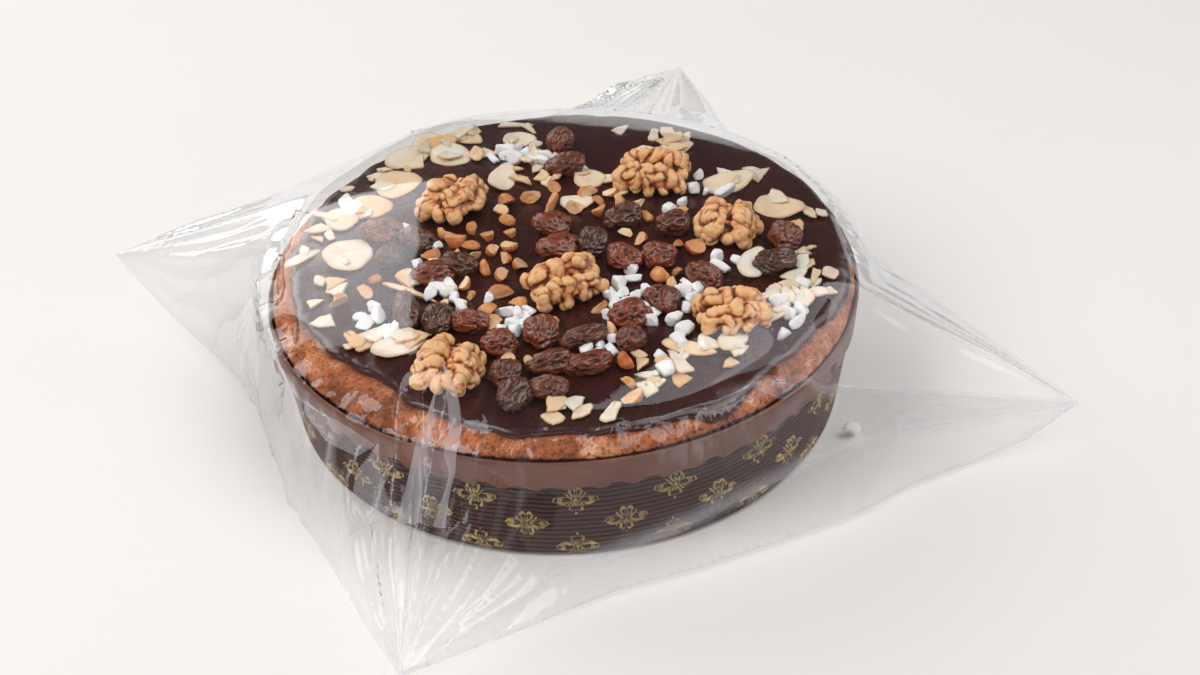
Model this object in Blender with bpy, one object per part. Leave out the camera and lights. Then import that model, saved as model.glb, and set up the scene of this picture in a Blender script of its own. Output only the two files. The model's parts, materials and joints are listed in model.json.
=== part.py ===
"""A chocolate torte in a ribbed paper baking case, closed in a clear film bag.

Frame: metres, +Z up, the origin at the middle of the case's foot, on the surface it stands on.
The bag's four corners point along BAG_CORNERS; the front of the torte is towards -Y.
"""

import math
import random

import bmesh
import bpy
from mathutils import Euler, Matrix, Vector, noise

MM = 0.001

# Paper case
FOOT_RADIUS = 98 * MM
RIM_RADIUS = 105 * MM
CASE_HEIGHT = 45 * MM
FOOT_ROUNDING = 2.5 * MM
RIB_COUNT = 14
RIB_DEPTH = 0.8 * MM
RIBS_TOP = 35 * MM
WALL = 1.5 * MM
CASE_SEGMENTS = 48

# Paper collar folded over the rim, with a wavy lower edge
COLLAR_PAPER = 0.5 * MM
COLLAR_DEPTH = 11 * MM
COLLAR_WAVES = 60
COLLAR_WAVE_HEIGHT = 1.1 * MM

# Sponge
DOME_TOP = 56 * MM
DOME_FALL = 4 * MM
SHOULDER_RADIUS = 95.5 * MM
SHOULDER_HEIGHT = 6.3 * MM
SPONGE_EDGE = 102.8 * MM
CRUST_ROUGHNESS = 0.3 * MM

# Chocolate glaze: how far it ran, by the angle round the torte in degrees
GLAZE_THICKNESS = 2 * MM
GLAZE_REACH = {
    -180: 96, -155: 95, -134: 91.5, -118: 95.5, -102: 98.5, -84: 98.5, -70: 99.5, -60: 102.2,
    -48: 98, -35: 97.5, -18: 101.5, 10: 102, 40: 100.5, 70: 99.5, 100: 98.5, 130: 97.5, 158: 97,
}
GLAZE_RIPPLE = 0.5 * MM
GLAZE_SEGMENTS = 56
LIP_CLEARANCE = 0.35 * MM

# Clearance between pieces that touch
GAP = 0.4 * MM

# Walnut halves: x, y, turn, tilt about the long axis, length, width, height (mm and degrees)
WALNUTS = (
    (-39, 27, 62, -12, 29, 25, 11.5),
    (34, 41, -12, 6, 32, 25, 11.5),
    (59, 7, 84, 4, 27, 25, 11.5),
    (1, -28, 28, 18, 32, 21, 11),
    (57, -48, 8, -6, 31, 25, 11.5),
    (-38, -71, 72, 5, 29, 25, 11.5),
)

# Raisins: x, y and turn (mm and degrees)
RAISINS = (
    (0, 71, 95), (2, 51, 20), (-3, 11, 10), (-1, -4, -15), (22, 14, 30), (11, -2, 70), (22, -11, 50),
    (34, -12, -20), (39.5, 8, 15), (49, -24, 25), (79, 0, 60), (75, -15, 10), (34, -37, 70), (23, -45, 40),
    (23, -58, 75), (7, -56, 10), (-7, -53, 60), (-21, -58, 20), (8, -70, -15), (-4, -69, 0), (-5, -82, 5),
    (-16, -84, 60), (-19.5, -73, 75), (-36, -11, 15), (-44, -16, -30), (-51, 5, 30), (-64, 13, 20),
    (-60, -4, 80), (-53, -38, 85), (-42, -43, 50), (-31, -46, -10),
)
RAISIN_SIZE = (13 * MM, 9.6 * MM, 6.6 * MM)
RAISIN_SPACING = 5.8 * MM
WALNUT_SPACING = 14.5 * MM

# Small toppings, in drifts: angle, distance, spread along and across, how many (mm and degrees)
ALMOND_DRIFTS = (
    (178, 78, 9, 6, 3), (160, 80, 10, 7, 4), (141, 82, 9, 9, 4), (121, 84, 10, 8, 5), (104, 75, 12, 9, 5),
    (86, 62, 12, 9, 4), (67, 78, 12, 8, 4), (32, 78, 8, 6, 2), (15, 82, 7, 6, 2), (-12, 84, 8, 7, 4),
    (-28, 88, 9, 7, 5), (-48, 82, 10, 6, 4), (-66, 78, 10, 6, 4), (-88, 93, 9, 3, 3), (-138, 80, 11, 7, 5),
    (-165, 84, 7, 5, 2),
)
HAZELNUT_DRIFTS = (
    (140, 30, 9, 6, 4), (170, 33, 9, 7, 4), (60, 32, 7, 5, 2), (14, 36, 8, 6, 3), (-100, 38, 8, 5, 2),
    (-140, 52, 7, 5, 2), (-79, 80, 4, 6, 2), (-33, 43, 4, 4, 1),
)
SUGAR_DRIFTS = (
    (108, 66, 4, 3, 2), (-178, 46, 5, 4, 2), (-140, 47, 4, 4, 3), (-112, 46, 6, 4, 4), (-60, 40, 7, 5, 4),
    (-50, 55, 7, 6, 4), (-76, 66, 5, 4, 2), (-152, 75, 7, 4, 3), (30, 55, 8, 6, 2), (155, 84, 3, 3, 1),
)
TOPPING_SEED = 7

# Film bag: corner angles, distances and heights, and how thick the solid's walls are
BAG_CORNERS = ((154, 193), (75.5, 205), (-12, 185), (-109, 168))
CORNER_HEIGHT = 10 * MM
CORNER_WIDTH = 3 * MM
FILM_INNER = 0.9 * MM
FILM_OUTER = 1.7 * MM
SEAL_SHARE = 0.84


def polar(angle_deg, distance):
    """A point in plan, from an angle in degrees and a distance."""
    angle = math.radians(angle_deg)
    return Vector((distance * math.cos(angle), distance * math.sin(angle), 0))


def paint(name, colour, roughness, alpha=1.0):
    """A Principled material of one plain colour."""
    material = bpy.data.materials.new(name)
    material.use_nodes = True
    shader = material.node_tree.nodes["Principled BSDF"]
    shader.inputs["Base Color"].default_value = (*colour, 1)
    shader.inputs["Roughness"].default_value = roughness
    shader.inputs["Metallic"].default_value = 0
    shader.inputs["Alpha"].default_value = alpha
    return material


def place(name, bm, material, smooth=40):
    """Makes an object of a bmesh and gives it its material."""
    bmesh.ops.recalc_face_normals(bm, faces=bm.faces)
    mesh = bpy.data.meshes.new(name)
    bm.to_mesh(mesh)
    bm.free()
    mesh.materials.append(material)
    mesh.shade_smooth()
    mesh.set_sharp_from_angle(angle=math.radians(smooth))
    piece = bpy.data.objects.new(name, mesh)
    bpy.context.scene.collection.objects.link(piece)
    return piece


def bridge(bm, lower, upper):
    """Quads between two rings of the same count."""
    count = len(lower)
    for i in range(count):
        j = (i + 1) % count
        bm.faces.new((lower[i], lower[j], upper[j], upper[i]))


def turned(rings, pole_low, pole_high):
    """A closed solid from rings of points that run between two poles on the axis."""
    bm = bmesh.new()
    made = [[bm.verts.new(p) for p in ring] for ring in rings]
    for lower, upper in zip(made, made[1:]):
        bridge(bm, lower, upper)
    for ring, pole in ((made[0], pole_low), (made[-1], pole_high)):
        tip = bm.verts.new(pole)
        for i in range(len(ring)):
            bm.faces.new((ring[i], ring[(i + 1) % len(ring)], tip))
    return bm


def circle(radius, height, segments):
    return [polar(360 * i / segments, radius) + Vector((0, 0, height)) for i in range(segments)]


def wall_radius(height):
    """Outer radius of the case's wall, which flares from foot to rim."""
    return FOOT_RADIUS + (RIM_RADIUS - FOOT_RADIUS) * height / CASE_HEIGHT


def baking_case(material):
    """The cup of ribbed paper: a flat foot, ribs up to the collar, and a plain inner wall."""
    pitch = (RIBS_TOP - FOOT_ROUNDING) / RIB_COUNT
    outside = [(FOOT_RADIUS - FOOT_ROUNDING, 0), (FOOT_RADIUS - 0.3 * FOOT_ROUNDING, 0.3 * FOOT_ROUNDING)]
    for k in range(RIB_COUNT):
        valley = FOOT_ROUNDING + k * pitch
        crest = valley + pitch / 2
        outside.append((wall_radius(valley) - RIB_DEPTH, valley))
        outside.append((wall_radius(crest), crest))
    outside.append((wall_radius(RIBS_TOP) - RIB_DEPTH, RIBS_TOP))
    outside.append((RIM_RADIUS - RIB_DEPTH / 2, CASE_HEIGHT))
    inside = [(RIM_RADIUS - WALL, CASE_HEIGHT), (wall_radius(WALL) - WALL, WALL)]
    rings = [circle(r, z, CASE_SEGMENTS) for r, z in outside + inside]
    return place("baking_case", turned(rings, (0, 0, 0), (0, 0, WALL)), material, 20)


def collar(material):
    """The strip of plain paper folded over the rim, its lower edge cut in waves."""
    segments = 2 * COLLAR_WAVES
    fold_top = CASE_HEIGHT + GAP + COLLAR_PAPER
    rings = [[] for _ in range(6)]
    for i in range(segments):
        angle = 360 * i / segments
        wave = COLLAR_WAVE_HEIGHT * (i % 2) * (0.7 + 0.3 * math.sin(i * 0.9))
        edge = CASE_HEIGHT - COLLAR_DEPTH - wave
        skirt = wall_radius(edge) + GAP
        section = (
            (skirt + COLLAR_PAPER, edge),
            (RIM_RADIUS + GAP + COLLAR_PAPER, fold_top),
            (RIM_RADIUS - WALL, fold_top),
            (RIM_RADIUS - WALL, CASE_HEIGHT + GAP),
            (RIM_RADIUS + GAP, CASE_HEIGHT + GAP),
            (skirt, edge),
        )
        for ring, (radius, height) in zip(rings, section):
            ring.append(polar(angle, radius) + Vector((0, 0, height)))
    bm = bmesh.new()
    made = [[bm.verts.new(p) for p in ring] for ring in rings]
    for k in range(len(made)):
        bridge(bm, made[k], made[(k + 1) % len(made)])
    return place("collar", bm, material, 50)


def crust_height(point):
    """Height of the sponge's top at a point in plan: a low dome that rolls over at the shoulder."""
    radius = math.hypot(point[0], point[1])
    height = DOME_TOP - DOME_FALL * (min(radius, SHOULDER_RADIUS) / SHOULDER_RADIUS) ** 2.5
    if radius > SHOULDER_RADIUS:
        over = min((radius - SHOULDER_RADIUS) / (SPONGE_EDGE + 0.6 * MM - SHOULDER_RADIUS), 1)
        height -= SHOULDER_HEIGHT * (1 - math.sqrt(1 - over**2))
    return height


def sponge(material):
    """The baked sponge: it fills the case and stands proud of it in a rounded, uneven shoulder."""
    inner = [(wall_radius(2 * WALL) - WALL - GAP - 0.3 * MM, WALL + GAP)]
    inner.append((RIM_RADIUS - WALL - GAP - 0.3 * MM, CASE_HEIGHT - 1 * MM))
    rings = [circle(r, z, CASE_SEGMENTS) for r, z in inner]
    for radius in (102.6, 101.2, 98.6, 95, 86, 66, 36):
        ring = []
        for point in circle(radius * MM, 0, CASE_SEGMENTS):
            rough = CRUST_ROUGHNESS * noise.noise(point * 90)
            point = point * (1 + rough / (radius * MM)) if radius > 95 else point
            point.z = crust_height(point)
            ring.append(point)
        rings.append(ring)
    return place("sponge", turned(rings, (0, 0, WALL + GAP), (0, 0, DOME_TOP)), material, 50)


def glaze_reach(angle_deg):
    """How far the glaze ran at an angle: a smooth curve through GLAZE_REACH, with small ripples."""
    angles = sorted(GLAZE_REACH)
    angle = (angle_deg + 180) % 360 - 180
    count = len(angles)
    k = max(i for i in range(count) if angles[i] <= angle)
    start, end = angles[k], angles[k + 1] if k + 1 < count else 180
    t = (angle - start) / (end - start)
    p = [GLAZE_REACH[angles[(k + j) % count]] for j in (-1, 0, 1, 2)]
    bend = p[1] + 0.5 * t * (p[2] - p[0] + t * (2 * p[0] - 5 * p[1] + 4 * p[2] - p[3] + t * (3 * (p[1] - p[2]) + p[3] - p[0])))
    ripple = GLAZE_RIPPLE * (math.sin(math.radians(17 * angle)) + 0.6 * math.sin(math.radians(29 * angle)))
    return min(bend * MM + ripple, SPONGE_EDGE - 0.3 * MM)


def glaze_height(point):
    """Height of the glaze's upper face at a point in plan."""
    return crust_height(point) + GAP + GLAZE_THICKNESS


def glaze_body():
    """The poured glaze as one closed skin over the sponge, with a rounded lip."""
    under = [(0.5, GAP), (0.82, GAP), (0.93, GAP + LIP_CLEARANCE), (0.985, GAP + 1.5 * LIP_CLEARANCE)]
    lip = [(1.0, GAP + 0.6 * GLAZE_THICKNESS), (0.985, GAP + 0.96 * GLAZE_THICKNESS)]
    over = [(share, GAP + GLAZE_THICKNESS) for share in (0.95, 0.84, 0.6, 0.3)]
    rings = []
    for share, lift in under + lip + over:
        ring = []
        for i in range(GLAZE_SEGMENTS):
            angle = 360 * i / GLAZE_SEGMENTS
            point = polar(angle, share * glaze_reach(angle))
            ring.append(point + Vector((0, 0, crust_height(point) + lift)))
        rings.append(ring)
    return turned(rings, (0, 0, DOME_TOP + GAP), (0, 0, DOME_TOP + GAP + GLAZE_THICKNESS))


def walnut_height(across, along, share, turn):
    """Relief of a walnut half as a share of its height: a dome, a furrow and finger-like lobes."""
    dome = max(1 - share**2.6, 0) ** 0.55
    furrow = 1 - 0.5 * math.exp(-((across / 0.16) ** 2)) * (1 - 0.4 * along**2)
    side = 1 if across > 0 else -1
    lobes = 1 - 0.3 * share * (0.5 - 0.5 * math.cos(5 * turn + 0.8 * side))
    return dome * furrow * lobes


def walnut(name, spot, material):
    """One walnut half, its lobed back up, resting on the glaze."""
    x, y, turn, tilt, length, width, height = spot
    angles, shares = 24, (0.95, 0.78, 0.54, 0.27)
    rings = [[], []]
    for i in range(angles):
        a = 2 * math.pi * i / angles
        edge = 1 + 0.07 * math.cos(9 * a + 1) - 0.05 * math.cos(2 * a)
        for ring, share, low in ((rings[0], 0.82, 0.0), (rings[1], 1.0, 0.16)):
            plan = Vector((math.cos(a) * length / 2, math.sin(a) * width / 2, 0)) * share * edge
            ring.append(plan + Vector((0, 0, low * height)))
    for share in shares:
        ring = []
        for i in range(angles):
            a = 2 * math.pi * i / angles
            edge = 1 + 0.07 * math.cos(9 * a + 1) - 0.05 * math.cos(2 * a)
            along, across = math.cos(a) * share, math.sin(a) * share
            lift = 0.22 + 0.78 * walnut_height(across, along, share, a)
            plan = Vector((along * length / 2, across * width / 2, 0)) * edge
            ring.append(plan + Vector((0, 0, lift * height)))
        rings.append(ring)
    bm = turned(rings, (0, 0, 0), (0, 0, 0.62 * height))
    return seat(name, bm, x * MM, y * MM, turn, tilt, material, scale=MM)


def seat(name, bm, x, y, turn, tilt, material, scale=1.0):
    """Turns and tilts a topping, then stands its lowest point just clear of the glaze."""
    rotation = Euler((math.radians(tilt), 0, math.radians(turn))).to_matrix().to_4x4()
    bm.transform(rotation @ Matrix.Scale(scale, 4))
    bm.transform(Matrix.Translation((x, y, 0)))
    drop = min(v.co.z - glaze_height(v.co) for v in bm.verts)
    bm.transform(Matrix.Translation((0, 0, GAP - drop)))
    return place(name, bm, material, 70)


def raisin(name, spot, index, material):
    """One raisin: a flattened drop with deep wrinkles."""
    x, y, turn = spot
    draw = random.Random(100 + index)
    bm = bmesh.new()
    bmesh.ops.create_icosphere(bm, subdivisions=1, radius=0.5)
    size = [side * draw.uniform(0.88, 1.08) for side in RAISIN_SIZE]
    for vert in bm.verts:
        wrinkle = 1 + 0.22 * noise.noise(vert.co * 3.1 + Vector((index * 3.7, 0, 0)))
        taper = 1 - 0.3 * vert.co.x
        vert.co = Vector((vert.co.x * size[0], vert.co.y * size[1] * taper, vert.co.z * size[2])) * wrinkle
    return seat(name, bm, x * MM, y * MM, turn, draw.uniform(-12, 12), material)


def free_of(point, reach, taken):
    return all((point - other).length > reach + room for other, room in taken)


def scatter(drifts, reach, draw, taken, reserve):
    """Spots for small toppings: each drift's own, drawn at random, clear of what is there already."""
    spots = []
    for angle, distance, along, across, count in drifts:
        for _ in range(count):
            for _ in range(60):
                where = polar(angle, (distance + draw.gauss(0, across)) * MM)
                where += polar(angle + 90, draw.gauss(0, along) * MM)
                edge = glaze_reach(math.degrees(math.atan2(where.y, where.x)))
                if where.length + reach < edge and free_of(where, reach, taken):
                    spots.append(where)
                    taken.append((where, reserve))
                    break
    return spots


def almond_flake(where, draw):
    """A thin slice of almond: an egg outline or a broken piece of one, lying at a slant."""
    length, width = draw.uniform(11, 15) * MM, draw.uniform(6.5, 9) * MM
    if draw.random() < 0.4:
        length, width = draw.uniform(6, 10) * MM, draw.uniform(4, 6) * MM
    bm = bmesh.new()
    sides, thickness = 7, 0.9 * MM
    for height in (-thickness / 2, thickness / 2):
        for i in range(sides):
            a = 2 * math.pi * i / sides
            egg = 1 - 0.25 * math.cos(a)
            bm.verts.new((math.cos(a) * length / 2, math.sin(a) * width / 2 * egg, height))
    bm.verts.ensure_lookup_table()
    bm.faces.new(bm.verts[:sides])
    bm.faces.new(bm.verts[sides:])
    bridge(bm, bm.verts[:sides], bm.verts[sides:])
    lean = draw.uniform(6, 16) * draw.choice((-1, 1))
    return lay(bm, where, draw.uniform(0, 360), lean, 0.5 * MM)


def nut_chip(where, draw, size):
    """A chopped piece of hazelnut or a sugar grain: a lump with flat broken sides."""
    bm = bmesh.new()
    if size > 4.5 * MM:
        bmesh.ops.create_icosphere(bm, subdivisions=1, radius=0.5)
    else:
        bmesh.ops.create_cube(bm, size=0.8)
    corners = [Vector([c * size * draw.uniform(0.85, 1.12) for c in vert.co]) for vert in bm.verts]
    bm.free()
    return lay(taut_hull(corners), where, draw.uniform(0, 360), draw.uniform(-20, 20), 0.8 * MM)


def lay(bm, where, turn, lean, sink):
    """Lays a small topping on the glaze, sunk in a little so that the two join."""
    bm.transform(Euler((math.radians(lean), 0, math.radians(turn))).to_matrix().to_4x4())
    bm.transform(Matrix.Translation(where))
    drop = min(v.co.z - glaze_height(v.co) for v in bm.verts)
    bm.transform(Matrix.Translation((0, 0, -drop - sink)))
    bmesh.ops.recalc_face_normals(bm, faces=bm.faces)
    return bm


def glaze_with_toppings(material):
    """The glaze, with almond flakes, hazelnut chips and sugar grains joined to its upper face."""
    draw = random.Random(TOPPING_SEED)
    taken = [(Vector((w[0], w[1], 0)) * MM, WALNUT_SPACING) for w in WALNUTS]
    taken += [(Vector((r[0], r[1], 0)) * MM, RAISIN_SPACING) for r in RAISINS]
    chips = [nut_chip(spot, draw, draw.uniform(5, 7) * MM) for spot in scatter(HAZELNUT_DRIFTS, 4 * MM, draw, taken, 3.2 * MM)]
    grains = [nut_chip(spot, draw, draw.uniform(3.2, 4.2) * MM) for spot in scatter(SUGAR_DRIFTS, 3 * MM, draw, taken, 2 * MM)]
    flakes = [almond_flake(spot, draw) for spot in scatter(ALMOND_DRIFTS, 7.5 * MM, draw, taken, 3.5 * MM)]
    scraps = bpy.data.collections.new("toppings")
    for index, bm in enumerate(flakes + chips + grains):
        mesh = bpy.data.meshes.new(f"topping_{index}")
        bm.to_mesh(mesh)
        bm.free()
        scraps.objects.link(bpy.data.objects.new(mesh.name, mesh))
    piece = place("glaze", glaze_body(), material, 45)
    combine(piece, scraps, "UNION")
    return piece


def combine(piece, others, operation, solver="EXACT"):
    """Joins a collection to a piece, or cuts it away, and drops the collection's objects."""
    modifier = piece.modifiers.new("combine", "BOOLEAN")
    modifier.operation = operation
    modifier.operand_type = "COLLECTION"
    modifier.collection = others
    modifier.solver = solver
    bpy.context.view_layer.update()
    graph = bpy.context.evaluated_depsgraph_get()
    result = bpy.data.meshes.new_from_object(piece.evaluated_get(graph))
    piece.modifiers.clear()
    piece.data = result
    for other in list(others.objects):
        bpy.data.objects.remove(other)
    bpy.data.collections.remove(others)


def swollen(pieces, margin):
    """Every corner of the pieces, moved out by a margin each way."""
    steps = [Vector(step) * margin for step in ((1, 0, 0), (-1, 0, 0), (0, 1, 0), (0, -1, 0), (0, 0, 1))]
    points = set()
    for piece in pieces:
        for vert in piece.data.vertices:
            for step in steps:
                points.add(tuple(round(c, 6) for c in vert.co + step))
    return [Vector(p) for p in points]


def taut_hull(points):
    """The convex skin that film makes when it is drawn tight round some points."""
    bm = bmesh.new()
    verts = [bm.verts.new(p) for p in points]
    found = bmesh.ops.convex_hull(bm, input=verts)
    inside = {v for v in found["geom_interior"] + found["geom_unused"] if isinstance(v, bmesh.types.BMVert)}
    bmesh.ops.delete(bm, geom=list(inside), context="VERTS")
    bmesh.ops.recalc_face_normals(bm, faces=bm.faces)
    return bm


def wings(points, share):
    """For each corner of the bag, the film drawn tight between the corner and the torte."""
    made = []
    for angle, distance in BAG_CORNERS:
        reach = (RIM_RADIUS + (distance * MM - RIM_RADIUS) * share)
        corner = polar(angle, reach) + Vector((0, 0, CORNER_HEIGHT))
        aside = polar(angle + 90, CORNER_WIDTH / 2)
        upright = Vector((0, 0, 0.6 * MM))
        if share < 1:
            made.append(taut_hull(points + [corner]))
        else:
            made.append(taut_hull(points + [corner + aside, corner - aside, corner + upright, corner - upright]))
    return made


def film_bag(contents, material):
    """The bag as a thin shell round the torte, open where the case stands on it."""
    outer = [p for p in swollen(contents, FILM_OUTER) if p.z > -0.1 * MM]
    inner = [p for p in swollen(contents, FILM_INNER) if p.z > FILM_INNER]
    inner += [Vector((p.x, p.y, FILM_INNER)) for p in circle(FOOT_RADIUS + FILM_INNER, 0, CASE_SEGMENTS)]
    shells = wings(outer, 1.0)
    piece = place("film_bag", shells[0], material, 30)
    join = bpy.data.collections.new("corners")
    for index, bm in enumerate(shells[1:]):
        link(f"corner_{index}", bm, join)
    combine(piece, join, "UNION", "MANIFOLD")
    hollow = bpy.data.collections.new("hollow")
    for index, bm in enumerate(wings(inner, SEAL_SHARE)):
        link(f"inside_{index}", bm, hollow)
    opening = turned(
        [circle(FOOT_RADIUS + 1.2 * MM, z, CASE_SEGMENTS) for z in (-4 * MM, 6 * MM)],
        (0, 0, -4 * MM), (0, 0, 6 * MM))
    bmesh.ops.recalc_face_normals(opening, faces=opening.faces)
    link("opening", opening, hollow)
    combine(piece, hollow, "DIFFERENCE", "MANIFOLD")
    return piece


def link(name, bm, collection):
    """Puts a bmesh in a collection as a helper object."""
    mesh = bpy.data.meshes.new(name)
    bm.to_mesh(mesh)
    bm.free()
    collection.objects.link(bpy.data.objects.new(name, mesh))


def build():
    for old in list(bpy.data.objects):
        bpy.data.objects.remove(old)
    paper = paint("ribbed_paper", (0.030, 0.014, 0.014), 0.6)
    plain_paper = paint("plain_paper", (0.110, 0.055, 0.046), 0.7)
    crumb = paint("chocolate_sponge", (0.260, 0.105, 0.050), 0.9)
    chocolate = paint("chocolate_glaze", (0.022, 0.009, 0.008), 0.25)
    nut = paint("walnut", (0.440, 0.230, 0.095), 0.6)
    fruit = paint("raisin", (0.055, 0.014, 0.008), 0.4)
    film = paint("clear_film", (0.95, 0.95, 0.95), 0.05, alpha=0.2)
    contents = [baking_case(paper), collar(plain_paper), sponge(crumb), glaze_with_toppings(chocolate)]
    contents += [walnut(f"walnut_{i + 1}", spot, nut) for i, spot in enumerate(WALNUTS)]
    contents += [raisin(f"raisin_{i + 1:02d}", spot, i, fruit) for i, spot in enumerate(RAISINS)]
    film_bag(contents, film)


build()
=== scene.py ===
import json
import math
import random

import bmesh
import bpy
import numpy as np
from mathutils import Euler, Matrix, Vector, noise
from mathutils.geometry import delaunay_2d_cdt

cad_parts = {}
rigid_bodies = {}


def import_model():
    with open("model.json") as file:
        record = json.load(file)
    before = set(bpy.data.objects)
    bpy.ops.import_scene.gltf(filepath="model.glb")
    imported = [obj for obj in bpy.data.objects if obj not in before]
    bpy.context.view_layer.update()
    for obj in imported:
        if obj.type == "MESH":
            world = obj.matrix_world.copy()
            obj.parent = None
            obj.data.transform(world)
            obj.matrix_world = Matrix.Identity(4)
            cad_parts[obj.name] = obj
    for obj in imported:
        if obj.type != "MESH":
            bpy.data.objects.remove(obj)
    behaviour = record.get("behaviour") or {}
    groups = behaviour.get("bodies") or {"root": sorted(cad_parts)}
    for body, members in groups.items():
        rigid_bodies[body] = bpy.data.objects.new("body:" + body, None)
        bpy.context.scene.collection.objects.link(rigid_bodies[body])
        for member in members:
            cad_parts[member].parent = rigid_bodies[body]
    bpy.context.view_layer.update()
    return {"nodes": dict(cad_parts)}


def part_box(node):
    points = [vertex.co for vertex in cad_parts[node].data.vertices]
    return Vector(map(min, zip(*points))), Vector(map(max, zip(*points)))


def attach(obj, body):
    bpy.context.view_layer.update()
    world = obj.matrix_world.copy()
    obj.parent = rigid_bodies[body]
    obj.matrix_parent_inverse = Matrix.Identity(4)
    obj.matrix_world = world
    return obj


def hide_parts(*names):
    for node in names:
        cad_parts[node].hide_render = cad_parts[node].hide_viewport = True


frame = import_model()
mm = 0.001


# small tools that every piece uses

def linear(hexColour):
    # sRGB hex to the linear colour that shaders work in
    parts = [int(hexColour[i:i + 2], 16) / 255 for i in (1, 3, 5)]
    return tuple(c / 12.92 if c <= 0.04045 else ((c + 0.055) / 1.055) ** 2.4 for c in parts) + (1,)


def add(tree, kind, inputs=None, **settings):
    # one node with its settings, its fixed values and its links
    made = tree.nodes.new(kind)
    for key, value in settings.items():
        setattr(made, key, value)
    for key, value in (inputs or {}).items():
        socket = made.inputs[key]
        if isinstance(value, bpy.types.NodeSocket):
            tree.links.new(value, socket)
        else:
            socket.default_value = value
    return made


def startMaterial(name):
    material = bpy.data.materials.new(name)
    material.use_nodes = True
    material.node_tree.nodes.clear()
    return material, material.node_tree


def colourRamp(tree, factor, stops):
    # a ramp through (position, hex colour) stops
    ramp = add(tree, "ShaderNodeValToRGB", {"Fac": factor})
    elements = ramp.color_ramp.elements
    while len(elements) < len(stops):
        elements.new(0.5)
    for element, (position, colour) in zip(elements, stops):
        element.position = position
        element.color = linear(colour)
    return ramp.outputs["Color"]


def blendColours(tree, factor, first, second, mode="MIX"):
    made = add(tree, "ShaderNodeMix", {0: factor, 6: first, 7: second}, data_type="RGBA", blend_type=mode)
    return made.outputs[2]


def finishMaterial(tree, shader, bump=None):
    if bump is not None:
        tree.links.new(bump, shader.inputs["Normal"])
    add(tree, "ShaderNodeOutputMaterial", {"Surface": shader.outputs[0]})


def meshObject(name, verts, faces, smooth=True):
    mesh = bpy.data.meshes.new(name)
    mesh.from_pydata([tuple(v) for v in verts], [], [tuple(int(i) for i in f) for f in faces])
    mesh.update()
    mesh.validate()
    if smooth:
        mesh.shade_smooth()
    piece = bpy.data.objects.new(name, mesh)
    bpy.context.scene.collection.objects.link(piece)
    return piece


def floatLayer(mesh, name, values):
    layer = mesh.attributes.new(name, "FLOAT", "POINT")
    layer.data.foreach_set("value", np.asarray(values, dtype=np.float32))


def bake(piece):
    # the modifiers' result as the piece's own plain mesh
    bpy.context.view_layer.update()
    graph = bpy.context.evaluated_depsgraph_get()
    result = bpy.data.meshes.new_from_object(piece.evaluated_get(graph), depsgraph=graph)
    piece.modifiers.clear()
    piece.data = result
    return piece


def faceOutwards(piece):
    bm = bmesh.new()
    bm.from_mesh(piece.data)
    bmesh.ops.recalc_face_normals(bm, faces=bm.faces)
    bm.to_mesh(piece.data)
    bm.free()


def putOn(piece, material, nodes):
    # the finish, the body and the CAD nodes that a finished piece stands for
    piece.data.materials.clear()
    piece.data.materials.append(material)
    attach(piece, "root")
    if nodes:
        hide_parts(*nodes)


def gridFaces(rows, around):
    # quads of a grid that closes on itself: row r holds around points
    r, c = np.meshgrid(np.arange(rows - 1), np.arange(around), indexing="ij")
    n = (c + 1) % around
    quads = np.stack([r * around + c, r * around + n, (r + 1) * around + n, (r + 1) * around + c], -1)
    return quads.reshape(-1, 4)


def smoothStep(x):
    x = np.clip(x, 0, 1)
    return x * x * (3 - 2 * x)


def noiseAt(points, scale, shift=0.0):
    # Perlin noise at each point, about -1 to 1
    moved = np.asarray(points) * scale + shift
    return np.array([noise.noise(p) for p in moved.tolist()])


# the torte's main sizes, as in the frame

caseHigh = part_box("baking_case")[1]
torte = {
    "footRadius": 98 * mm,
    "rimRadius": caseHigh[0],
    "caseHeight": caseHigh[2],
    "domeTop": 56 * mm,
    "domeFall": 4 * mm,
    "shoulderRadius": 95.5 * mm,
    "shoulderDrop": 6.3 * mm,
    "spongeEdge": 103.4 * mm,
    "glazeThickness": 2.4 * mm,
}
# how far the poured glaze ran, by the angle round the torte in degrees
glazeRun = {
    -180: 96, -155: 95, -134: 91.5, -118: 95.5, -102: 99, -84: 99, -70: 100, -60: 102.8,
    -48: 98.5, -35: 97.5, -18: 101.5, 10: 102, 40: 100.5, 70: 99.5, 100: 98.5, 130: 97.5, 158: 97,
}


def crustHeight(radius):
    # the sponge's top: a low dome that rolls over at the shoulder
    radius = np.asarray(radius, dtype=float)
    inner = np.minimum(radius, torte["shoulderRadius"]) / torte["shoulderRadius"]
    height = torte["domeTop"] - torte["domeFall"] * inner**2.5
    over = np.clip((radius - torte["shoulderRadius"]) / (torte["spongeEdge"] - torte["shoulderRadius"]), 0, 1)
    return height - torte["shoulderDrop"] * (1 - np.sqrt(1 - over**2))


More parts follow.
